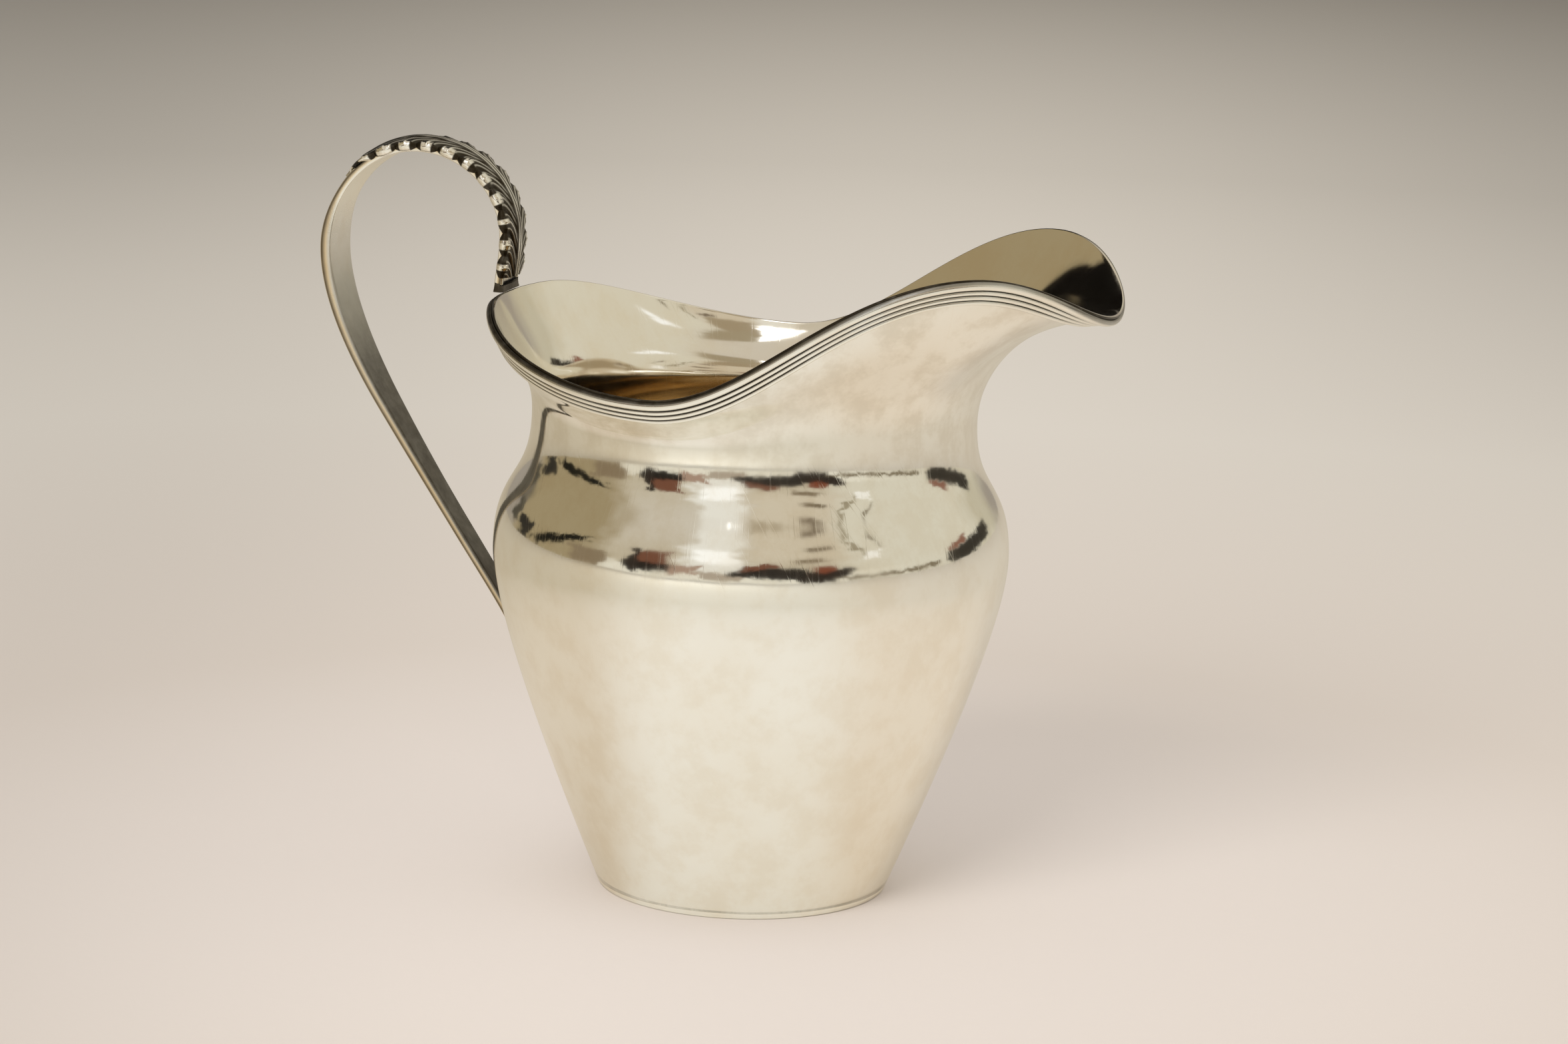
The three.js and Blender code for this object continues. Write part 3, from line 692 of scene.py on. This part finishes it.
def silver_material(name, finish, rough, groove=None, depth=None, haze=None, marks=1.0):
    """Polished silver: a warm cloudy film, fine wiping marks, and the tarnish colour where the mask value is
    high: tarnish in the hollows of the wire, strap and leaf, and painted shade along the body's lip.

    depth names a value that is high where the silver turns a darker yellow-brown, and haze one that is high
    where the silver is dulled."""
    material, tree, place = new_material(name)
    surface = add_node(tree, "ShaderNodeUVMap", settings={"uv_map": "surface"})
    slant = add_node(tree, "ShaderNodeMapping", {"Vector": surface, "Rotation": (0, 0, 0.5)})
    cloud = noise(tree, place, 42, 5, 0.65).between(0.36, 0.68)
    mottle = noise(tree, place, 170, 4, 0.7).between(0.4, 0.66)
    fine = noise(tree, place, 420, 3, 0.65)
    wipes = noise(tree, surface, 1, 2, 0.5, (60, 2600, 1)).between(0.56, 0.74)
    hairs = noise(tree, slant, 1, 2, 0.5, (40, 3200, 1)).between(0.62, 0.76)
    film = cloud * 0.5 + mottle * (0.25 + 0.4 * fine)
    tint = mix_colour(tree, film + hairs * 0.2 * marks, finish.silver, finish.warm)
    roughness = rough + (cloud * 0.03 + mottle * 0.03 + wipes * 0.04 + hairs * 0.05) * marks
    if haze:
        dull = value_of(tree, haze) * (0.15 + 0.55 * mottle + 0.15 * cloud)
        tint = mix_colour(tree, dull, tint, finish.haze)
    if depth:
        gilt = value_of(tree, depth) * (0.75 + 0.25 * cloud)
        tint = mix_colour(tree, gilt, tint, finish.gilt)
        roughness = roughness + gilt * 0.08
    # tarnish, and the painted shade along the body's lip
    if groove:
        tarnish_and_shade = (value_of(tree, groove) * (0.85 + 0.3 * fine)).math("MINIMUM", 1.0)
        tint = mix_colour(tree, tarnish_and_shade, tint, finish.tarnish)
        roughness = roughness + tarnish_and_shade * 0.25
    wave = noise(tree, place, 90, 2, 0.5)
    relief = wave * 0.6 + (wipes + hairs) * 0.02 * marks
    inputs = {"Base Color": tint, "Metallic": 1.0, "Roughness": roughness}
    close_material(tree, relief, 0.25, 0.4 * MM, inputs)
    return material


def solder_material(name, finish, stain):
    """Dull grey solder with a crystalline mottle, stained dark all over by a share and more in flecks."""
    material, tree, place = new_material(name)
    mottle = noise(tree, place, 900, 3, 0.6)
    flecks = noise(tree, place, 300, 2, 0.5).between(0.5, 0.7)
    tint = mix_colour(tree, stain + flecks * (0.8 - 0.8 * stain), finish.solder, finish.tarnish)
    inputs = {"Base Color": tint, "Metallic": 1.0, "Roughness": 0.3 + 0.2 * mottle}
    close_material(tree, mottle, 0.5, 0.2 * MM, inputs)
    return material


# Pieces


class MILKJUG_OT_body(bpy.types.Operator):
    """Raised body as one closed surface: rows climb the outer face, bend over the edge in half a circle,
    and go down the inner face, a wall's thickness inside along the normals"""

    bl_idname = "milk_jug.body"
    bl_label = "Body"

    def execute(self, context):
        jug = context.scene.milk_jug
        body, wall = jug.body, jug.body.wall
        turn = columns(BODY_ROUND)
        low = all_round(lower_wall(body), turn)
        whole = below_edge(jug, turn, np.zeros((1, len(turn))))[2]
        climb = np.linspace(0, 1, FLARE_ROWS + 1)[1:, None]
        upper, normal, _ = below_edge(jug, turn, (whole - wall / 2) * (1 - climb) + wall / 2)
        outer = np.concatenate([low, upper])
        out = outward(outer)
        out[len(low) :] = normal
        inner = outer - wall * out
        z = body.base_thickness + 0.02 * MM
        outer[0] = body.base_radius + z * flank_lean(body), z
        inner[0] = outer[0, 0, 0] - wall * math.hypot(1, flank_lean(body)), z
        middle = (outer[-1] + inner[-1]) / 2
        ahead = np.stack([-normal[-1, :, 1], normal[-1, :, 0]], -1)
        bend = np.linspace(0, np.pi, 10)[1:-1, None, None]
        lip = middle + wall / 2 * (np.cos(bend) * normal[-1] + np.sin(bend) * ahead)
        loop = np.concatenate([outer, lip, inner[::-1]])
        sides = [np.zeros(len(outer)), np.linspace(0, 1, len(lip)), np.ones(len(inner))]
        inside = np.concatenate(sides)[:, None]
        above_neck = loop[..., 1] - body.neck_z
        # a darker yellow-brown on the inner face: faint near the rim, full below the neck
        gilt = inside * (0.12 + 0.88 * smooth(4 * MM, -8 * MM, above_neck))
        haze = (1 - inside) * (0.25 + 0.75 * smooth(-7 * MM, 4 * MM, above_neck))
        # painted shade: the top of the wall's rounded edge, beside the wire's bead, takes the tarnish colour
        groove = np.zeros_like(gilt)
        groove[len(outer) - 1 : len(outer) + 5] = 1
        line = chord_sum(loop[:, len(turn) // 4])
        around = np.linspace(0, 2 * np.pi * body.belly_radius, len(turn) + 1)
        uv = surface_places(np.append(line, line[-1] + wall), around)
        made = grid_object(
            "body_silver", spin(loop, turn), closed_rows=True, uv=uv, gilt=gilt, groove=groove, haze=haze
        )
        metal = silver_material("polished_silver", jug.finish, jug.finish.gloss, "groove", "gilt", "haze")
        return seat_piece(made, metal, "body_shell")


class MILKJUG_OT_base(bpy.types.Operator):
    """Base plate: a profile from the sunk middle of the underside over the standing ring, the softened
    edge and the top, carried round"""

    bl_idname = "milk_jug.base"
    bl_label = "Base"

    def execute(self, context):
        jug = context.scene.milk_jug
        body = jug.body
        foot, thick = body.base_radius, body.base_thickness
        top = foot + thick * flank_lean(body)
        soft, sunk, centre = 0.15 * MM, 0.25 * MM, 0.01 * MM
        profile = np.array(
            [
                (centre, sunk),
                (foot - 4 * MM, sunk),
                (foot - 3.4 * MM, sunk),
                (foot - 2.6 * MM, 0),
                (foot - 2.2 * MM, 0),
                (foot - soft, 0),
                (foot + soft * 0.4, soft),
                (top - soft * 0.1, thick - soft * 0.25),
                (top - soft * 0.25, thick),
                (top - 3 * MM, thick),
                (centre, thick),
            ]
        )
        turn = columns(180)
        uv = surface_places(profile[:, 0], np.linspace(0, 2 * np.pi * foot, len(turn) + 1))
        made = grid_object("base_silver", spin(all_round(profile, turn), turn), capped=True, uv=uv)
        metal = silver_material("base_silver", jug.finish, jug.finish.gloss + 0.06)
        return seat_piece(made, metal, "base_disc")


class MILKJUG_OT_seam(bpy.types.Operator):
    """Solder seam inside the base: its face is hollowed by half a sine wave from the base up the wall, and
    its leg wavers by two sine waves round the jug"""

    bl_idname = "milk_jug.seam"
    bl_label = "Base seam"

    def execute(self, context):
        jug = context.scene.milk_jug
        body = jug.body
        turn = columns(240)
        lean = flank_lean(body)
        foot, z = wall_foot(body)
        corner = foot - (body.wall + body.film) * math.hypot(1, lean)
        leg = body.seam_fillet * (0.88 + 0.08 * np.sin(7 * turn) + 0.04 * np.sin(17 * turn + 1))
        s = np.linspace(0, 1, 9)[:, None]
        hollow = 0.35 * np.sin(np.pi * s)
        reach = corner - leg * (1 - s) * (1 - 0.3 * hollow) + leg * s * lean
        height = z + leg * s * (1 - hollow)
        back = all_round(np.array([[corner, z]]), turn)
        rows = np.concatenate([np.stack([reach, height], -1), back])
        made = grid_object("base_seam", spin(rows, turn), closed_rows=True)
        metal = solder_material("seam_solder", jug.finish, 0)
        return seat_piece(made, metal, "base_seam_solder")


class MILKJUG_OT_wire(bpy.types.Operator):
    """Reeded wire: a bead and narrower reeds, each half an ellipse above its valleys. Distances are taken
    down the wall from the edge, stretched where the rim climbs, and heights along the wall's normal"""

    bl_idname = "milk_jug.wire"
    bl_label = "Rim wire"

    def execute(self, context):
        jug = context.scene.milk_jug
        rim, film, valley = jug.rim, jug.body.film, 0.22 * MM
        turn = columns()
        widths = np.array([rim.bead_width] + [rim.reed_width] * rim.reeds)[:, None]
        crowns = np.array([rim.bead_height] + [rim.reed_height] * rim.reeds)[:, None]
        ends = np.cumsum(widths)[:, None]
        wave = np.linspace(-1, 1, 13)
        arch = np.sqrt(1 - wave**2)
        distance = ends - widths + widths * (wave + 1) / 2
        height = valley + (crowns - valley) * arch
        groove = np.broadcast_to(1 - smooth(0.45, 0.97, arch), height.shape)
        under = [ends[-1, 0], ends[-1, 0] / 2, 0]
        distance = np.append(distance, under)
        height = np.append(height, np.zeros(3))
        groove = np.append(groove, np.ones(3))
        place, normal, _ = below_edge(jug, turn, distance[:, None] * climb_stretch(rim, turn))
        rows = place + normal * (film + height)[:, None, None]
        around = np.linspace(0, 2 * np.pi * rim.side_reach, len(turn) + 1)
        uv = surface_places(np.append(distance, 0), around)
        tarnish_and_shade = groove[:, None] * (0.6 + 0.4 * smooth(0.5, 1.5, from_spout(turn)))
        made = grid_object("rim_reeding", spin(rows, turn), closed_rows=True, uv=uv, groove=tarnish_and_shade)
        metal = silver_material("reeded_silver", jug.finish, jug.finish.gloss + 0.08, "groove")
        return seat_piece(made, metal, "rim_wire")


class MILKJUG_OT_strap(bpy.types.Operator):
    """Strap: half a section runs over the sunk middle, the edge thread (a hump of half a sine wave), the
    side and a rounded corner to the inner face. It is mirrored and carried along the line"""

    bl_idname = "milk_jug.strap"
    bl_label = "Handle strap"

    def execute(self, context):
        jug = context.scene.milk_jug
        handle, strap = jug.handle, Strap(jug)
        tongue, soft = 2.2 * MM, 0.25 * MM
        along = np.linspace(0, 1, STRAP_ROWS)
        place, normal = strap.evenly(STRAP_ROWS)
        rounding = smooth(1 - tongue / strap.length, 1, along)
        side = (strap.width(along) / 2 * np.sqrt(1 - 0.9 * rounding**2))[:, None]
        face = strap.thickness(along)[:, None] / 2
        deep, broad = handle.thread, np.minimum(handle.thread_width, side * 0.5)
        middle_y = (side - broad) * np.linspace(0, 1, 8)[:-1]
        middle_h = np.broadcast_to(face - deep, middle_y.shape)
        inset = np.linspace(1, 0, 9)
        thread_y = side - broad * inset
        thread_h = face - deep + (deep - 0.02 * MM) * np.sin(np.pi * (1 - inset)) ** 0.7
        bend = np.linspace(0, np.pi / 2, 5)
        flank_y = np.concatenate([side, side, side - soft + soft * np.cos(bend)], 1)
        flank_h = np.concatenate([(face - deep) * [0.7, -0.2], -face + soft - soft * np.sin(bend)], 1)
        under_y = (side - soft) * np.linspace(0.85, 0, 6)
        under_h = np.broadcast_to(-face, under_y.shape)
        half_y = np.concatenate([middle_y, thread_y, flank_y, under_y], 1)
        half_h = np.concatenate([middle_h, thread_h, flank_h, under_h], 1)
        edge = middle_y.shape[1]
        crest = edge + len(inset) - 1
        lower = 0.3 * smooth(strap.leaf_end, strap.loop, along)
        lower += 0.7 * smooth(strap.loop, (strap.loop + strap.waist) / 2, along)
        tarnish_and_shade = np.zeros_like(half_y)
        tarnish_and_shade[:, edge - 1 : edge + 2] = 0.8
        tarnish_and_shade[:, crest : crest + 2] = 0.75
        tarnish_and_shade[:, crest + 3 :] = 0.85 * lower[:, None]
        # a darker yellow-brown along the outer edge of each thread
        gilt = np.zeros_like(half_y)
        gilt[:, crest : crest + 3] = 0.9
        y = mirrored(half_y, -1)
        points = off_line(place[:, None], normal[:, None], y, mirrored(half_h))
        girth = np.linspace(0, 0.02, y.shape[1] + 1)
        uv = surface_places(along * strap.length, girth)[..., ::-1]
        made = grid_object(
            "handle_band", points, capped=True, uv=uv, groove=mirrored(tarnish_and_shade), gilt=mirrored(gilt)
        )
        metal = silver_material("strap_silver", jug.finish, jug.finish.gloss + 0.14, "groove", "gilt")
        return seat_piece(made, metal, "handle_strap")


class MILKJUG_OT_leaf(bpy.types.Operator):
    """Cast leaf: half a section crosses the top, falls down the side in a hump, and comes back along the
    strap. It is mirrored and set off the strap's line.

    The top is half an ellipse, cut down between the lobes, with Gaussian ridges for each lobe's three veins
    and for the doubled rib. Lobes repeat along the strap: they leave the rib steeply and bend out by the
    square of the way in from the leaf's edge"""

    bl_idname = "milk_jug.leaf"
    bl_label = "Handle leaf"

    def execute(self, context):
        jug = context.scene.milk_jug
        handle, film, strap = jug.handle, jug.body.film, Strap(jug)
        lead, cut, ridge = 6 * MM, 0.42 * MM, 0.12 * MM
        rib_out, rib_width = 0.42 * MM, 0.2 * MM
        run = np.linspace(0, handle.leaf_length, LEAF_ROWS)
        along = (handle.leaf_start + run) / strap.length
        place, normal = strap.at(along[:, None])
        thick = strap.thickness(along)
        pitch = handle.leaf_length / handle.lobes
        tip_from = handle.leaf_length - handle.leaf_tip

        off_lobe = np.abs(2 * np.mod(run / pitch, 1) - 1)
        edge_lobe = 1 - off_lobe**2.2
        swell = handle.leaf_edge * (0.35 + 0.65 * edge_lobe) + handle.leaf_lobe * edge_lobe
        full = strap.width(along) / 2 + film + swell
        side = full + (handle.leaf_tip_width / 2 - full) * smooth(tip_from, handle.leaf_length, run)
        inside = (side - swell)[:, None]
        seat = (thick / 2 + film)[:, None]
        drop = thick * (0.55 + 0.45 * edge_lobe)
        drop = (drop + (film / 2 - drop) * smooth(tip_from - handle.leaf_tip, tip_from, run))[:, None]

        out = np.linspace(0, 1, 40)
        y_top = inside * out
        in_lobe = np.mod((run[:, None] + lead * (1 - out) ** 2) / pitch, 1)
        gap = np.abs(2 * in_lobe - 1) ** 2.2
        side_vein = np.maximum(bell(in_lobe - 0.2, 0.04), bell(in_lobe - 0.77, 0.04))
        vein = np.maximum(bell(in_lobe - 0.5, 0.05), 0.7 * side_vein)
        rib = bell(y_top - rib_out, rib_width)
        beside_rib = smooth(0.22, 0.4, out)
        dome = handle.leaf_edge + (handle.leaf_rise - handle.leaf_edge) * np.sqrt(1 - 0.75 * out**2)
        notch = cut * gap * smooth(0.1, 0.45, out)
        relief = ridge * (rib + (vein - 1) * beside_rib - 1)
        h_top = seat + dome - notch + relief

        fall = np.linspace(0, 1, 14)[1:]
        y_side = inside + swell[:, None] * np.sin(np.pi * (fall * 0.94 + 0.03)) ** 0.6
        h_side = h_top[:, -1:] + (seat - drop - h_top[:, -1:]) * fall
        y_back = inside * [1, 0.98, 0.5, 0]
        h_back = np.concatenate([seat - drop, seat, seat, seat], 1)
        y = mirrored(np.concatenate([y_top, y_side, y_back], 1), -1)
        height = mirrored(np.concatenate([h_top, h_side, h_back], 1))

        bare = 0.2 + 0.4 * run / handle.leaf_length + 0.14 * np.sin(2.3 * np.floor(run / pitch))
        tip = smooth(bare + 0.12, bare, off_lobe)[:, None]
        bright = np.maximum(vein * beside_rib, rib)
        bright = np.maximum(bright, smooth(0.8, 0.97, out) * tip)
        side_dirt = np.broadcast_to(1 - tip, y_side.shape)
        tarnish_and_shade = mirrored(np.concatenate([1 - 0.92 * bright, side_dirt, np.ones_like(y_back)], 1))
        uv = surface_places(run, np.linspace(0, 0.03, y.shape[1] + 1))
        points = off_line(place, normal, y, height)
        made = grid_object("handle_acanthus", points, capped=True, uv=uv, groove=tarnish_and_shade)
        metal = silver_material("cast_silver", jug.finish, jug.finish.gloss + 0.1, "groove", marks=0.5)
        return seat_piece(made, metal, "handle_leaf")


class MILKJUG_OT_top_solder(bpy.types.Operator):
    """Solder collar on the rim: rings climb the strap and draw in to it by the square of the way left.
    Each ring is a circle pressed square, and its leg and height waver by sine waves"""

    bl_idname = "milk_jug.top_solder"
    bl_label = "Top solder"

    def execute(self, context):
        jug = context.scene.milk_jug
        handle, film, strap = jug.handle, jug.body.film, Strap(jug)
        turn = columns(120)
        across, out = (np.sign(wave) * np.abs(wave) ** 0.4 for wave in (np.cos(turn), np.sin(turn)))
        s = np.linspace(0, 1, 12)[:, None]
        grow = handle.fillet * (0.3 + 0.1 * np.sin(3 * turn + 0.6)) * (1 - s) ** 2
        rise = handle.fillet_height * (0.85 + 0.12 * np.sin(2 * turn)) * s
        under = np.zeros((1, len(turn)))
        grow = np.concatenate([grow, under])
        rise = np.concatenate([rise, under])
        y = (strap.width(0) / 2 + film + grow) * across
        height = (strap.thickness(0) / 2 + film + grow) * out
        points = off_line(*strap.at(rise / strap.length), y, height)
        made = grid_object("handle_collar", points, closed_rows=True)
        metal = solder_material("collar_solder", jug.finish, 0.85)
        return seat_piece(made, metal, "handle_top_solder")


class MILKJUG_OT_foot_solder(bpy.types.Operator):
    """Solder wedge at the foot: rows lie level between the strap's inner face and the round wall, from
    where the gap is small enough down to where it closes. Half a sine wave hollows the sides"""

    bl_idname = "milk_jug.foot_solder"
    bl_label = "Foot solder"

    def execute(self, context):
        jug = context.scene.milk_jug
        body, handle, film, strap = jug.body, jug.handle, jug.body.film, Strap(jug)
        along = np.linspace(0, 1, LINE_STEPS)
        place, normal = strap.evenly(LINE_STEPS)
        inner = place - normal * (strap.thickness(along) / 2 + film)[:, None]
        flank = lower_wall(body, FINE_ROWS)[:FINE_ROWS]
        reach = np.interp(inner[:, 1], flank[:, 1], flank[:, 0]) + film
        gap = -inner[:, 0] - reach
        low = along > strap.grip
        start = np.argmax(low & (gap < handle.foot_gap))
        end = np.argmax(low & (gap < 2 * film))
        pick = np.linspace(start, end, 26).astype(int)
        side = strap.width(along)[pick, None] / 2
        q = np.linspace(0, 1, 9)
        y_side = side * (1 - 0.16 * np.sin(np.pi * q))
        y_wall = side * np.linspace(1, -1, 9)[1:-1]
        y = np.concatenate([y_side, y_wall, -y_side[:, ::-1]], 1)
        part = np.concatenate([q, np.ones(y_wall.shape[1]), q[::-1]])
        wall_x = -np.sqrt(reach[pick, None] ** 2 - y**2)
        x = inner[pick, None, 0] * (1 - part) + wall_x * part
        z = np.broadcast_to(inner[pick, None, 1], x.shape)
        made = grid_object("handle_wedge", np.stack([x, y, z], -1), capped=True)
        metal = solder_material("wedge_solder", jug.finish, 0.4)
        return seat_piece(made, metal, "handle_foot_solder")


class MILKJUG_OT_stage(bpy.types.Operator):
    """Stage: a pale floor that darkens with distance as painted light falloff, soft surroundings, one soft lamp
    and the camera
    """

    bl_idname = "milk_jug.stage"
    bl_label = "Stage"

    def execute(self, context):
        studio = context.scene.milk_jug.studio
        self.floor(studio)
        self.surroundings()
        self.lamp()
        self.camera(studio)
        context.scene.view_settings.view_transform = "Standard"
        return {"FINISHED"}

    def floor(self, studio):
        """A round floor whose rings widen outwards, just under the base.

        It darkens with distance as painted light falloff, is brighter in a painted pool of light behind the jug
        and darker at the handle's side as painted shade. The silver mirrors it in colours of its own."""
        reach = np.concatenate([[0.001], np.geomspace(0.02, 4.0, 40)])
        turn = columns(96)
        rows = np.stack([reach, np.full_like(reach, -0.02 * MM)], -1)
        made = grid_object("floor", spin(all_round(rows, turn), turn))
        material, tree, place = new_material("floor_paper")
        x, y, _ = split(tree, place)
        away = add_node(tree, "ShaderNodeVectorMath", {0: place}, {"operation": "LENGTH"}, "Value")
        turned, facing = math.sin(studio.azimuth), math.cos(studio.azimuth)
        aside = x * facing + y * turned
        behind = y * facing - x * turned
        # a painted pool of light behind the jug, and painted shade at the handle's side
        off_pool = (aside / (behind + studio.distance) - 0.03).math("ABSOLUTE")
        pool = off_pool.between(0.2, 0) * behind.between(0.1, 1.0)
        painted_shade = aside.between(-0.02, -0.14) * away.between(0.65, 0.1)
        # painted light falloff: the floor's colour darkens with distance from the jug
        tint = add_node(tree, "ShaderNodeValToRGB", {0: away / FLOOR_REACH}, {"stops": FLOOR_FALLOFF_TINTS})
        lit = 1 + POOL_GAIN * pool - PAINTED_SHADE_LOSS * painted_shade
        tint = add_node(tree, "ShaderNodeVectorMath", {0: tint, "Scale": lit}, {"operation": "SCALE"})
        across = (x / away).between(-0.7, 0.7)
        ahead = ((0.15 * x - y) / away).between(0.35, 0.98)
        near, far = (
            mix_colour(tree, ahead, mix_colour(tree, across, left, right), front)
            for left, right, front in (MIRRORED_NEAR, MIRRORED_FAR)
        )
        seen = mix_colour(tree, away.between(0.05, 0.22), near, far)
        tint = mix_colour(tree, is_mirrored(tree), tint, seen)
        inputs = {"Base Color": tint, "Roughness": 0.9, "Specular IOR Level": 0.1}
        close_material(tree, noise(tree, place, 700, 2, 0.55), 0.05, 0.5 * MM, inputs)
        made.data.materials.append(material)

    def surroundings(self):
        """World light by direction: a warm room, a soft box above the front, and dark things on the horizon.

        Each patch is a soft-edged box in azimuth and elevation, and may lean. It is only mirrored: other
        rays meet an even pale light."""
        world = bpy.data.worlds.new("studio")
        bpy.context.scene.world = world
        world.use_nodes = True
        tree = world.node_tree
        tree.nodes.clear()
        way = add_node(tree, "ShaderNodeTexCoord", output="Generated")
        x, y, z = split(tree, way)
        ragged_az = noise(tree, way, 7, 2, 0.5) - 0.5
        ragged_el = noise(tree, way, 17, 4, 0.65) - 0.5
        azimuth = x.math("ARCTAN2", 0 - y) * math.degrees(1) + ragged_az * RAGGED_AZIMUTH
        elevation = z.math("ARCSINE") * math.degrees(1) + ragged_el * RAGGED_ELEVATION
        tint = mix_colour(tree, elevation.between(0, 70), ROOM_LOW, ROOM_HIGH)
        for _, az, half_az, el, half_el, soft_az, soft_el, lean, shade in SURROUNDINGS:
            aside = (azimuth - az).math("WRAP", 180.0, -180.0)
            above = elevation - el - aside * lean
            side = aside.math("ABSOLUTE").between(half_az + soft_az, half_az - soft_az)
            level = above.math("ABSOLUTE").between(half_el + soft_el, half_el - soft_el)
            tint = mix_colour(tree, side * level, tint, shade)
        tint = mix_colour(tree, is_mirrored(tree), PALE_LIGHT, tint)
        light = add_node(tree, "ShaderNodeBackground", {"Color": tint, "Strength": 1.0})
        output = tree.nodes.new("ShaderNodeOutputWorld")
        tree.links.new(light.socket, output.inputs["Surface"])

    def lamp(self):
        """A soft lamp above the front. Its own shape is not mirrored in the silver."""
        place = Vector((-0.22, -1.1, 0.85))
        data = bpy.data.lights.new("key_lamp", "AREA")
        data.size = 0.7
        data.energy = 8
        lamp = bpy.data.objects.new("key_lamp", data)
        bpy.context.scene.collection.objects.link(lamp)
        lamp.location = place
        lamp.rotation_euler = (Vector((0, 0, 0.05)) - place).to_track_quat("-Z", "Y").to_euler()
        lamp.visible_glossy = False

    def camera(self, studio):
        """A camera on the line from the middle of the view, turned and rolled as the photograph was taken."""
        az, el, roll = studio.azimuth, studio.elevation, studio.roll
        back = Vector((math.sin(az) * math.cos(el), -math.cos(az) * math.cos(el), math.sin(el)))
        level = Vector((math.cos(az), math.sin(az), 0))
        upright = back.cross(level)
        right = level * math.cos(roll) + upright * math.sin(roll)
        top = upright * math.cos(roll) - level * math.sin(roll)
        aim = Vector((0, 0, studio.aim_z)) + right * studio.aim_right - top * studio.aim_down
        data = bpy.data.cameras.new("camera")
        data.lens = studio.lens
        data.sensor_width = 36
        data.clip_start, data.clip_end = 0.01, 50
        camera = bpy.data.objects.new("camera", data)
        bpy.context.scene.collection.objects.link(camera)
        turn = Matrix((right, top, back)).transposed().to_4x4()
        camera.matrix_world = Matrix.Translation(aim + back * studio.distance) @ turn
        bpy.context.scene.camera = camera


OPERATORS = (
    MILKJUG_OT_body,
    MILKJUG_OT_base,
    MILKJUG_OT_seam,
    MILKJUG_OT_wire,
    MILKJUG_OT_strap,
    MILKJUG_OT_leaf,
    MILKJUG_OT_top_solder,
    MILKJUG_OT_foot_solder,
    MILKJUG_OT_stage,
)


class MILKJUG_PT_panel(bpy.types.Panel):
    """Lists the jug's pieces and its settings"""

    bl_idname = "MILKJUG_PT_panel"
    bl_label = "Milk jug"
    bl_space_type = "VIEW_3D"
    bl_region_type = "UI"
    bl_category = "Milk jug"

    def draw(self, context):
        for operator in OPERATORS:
            self.layout.operator(operator.bl_idname)
        for title in ("body", "rim", "handle", "finish", "studio"):
            box = self.layout.box()
            box.label(text=title.capitalize())
            values = getattr(context.scene.milk_jug, title)
            for name in values.__annotations__:
                box.prop(values, name)


CLASSES = (BodySizes, RimSizes, HandleSizes, Finish, Studio, MilkJug, *OPERATORS, MILKJUG_PT_panel)


def register():
    for cls in CLASSES:
        bpy.utils.register_class(cls)
    bpy.types.Scene.milk_jug = group(MilkJug, "Milk jug", "Settings of the milk jug")


def unregister():
    del bpy.types.Scene.milk_jug
    for cls in reversed(CLASSES):
        bpy.utils.unregister_class(cls)


def main():
    """Registers the classes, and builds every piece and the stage."""
    register()
    for piece in ("body", "base", "seam", "wire", "strap", "leaf", "top_solder", "foot_solder", "stage"):
        getattr(bpy.ops.milk_jug, piece)()


if __name__ == "__main__":
    main()
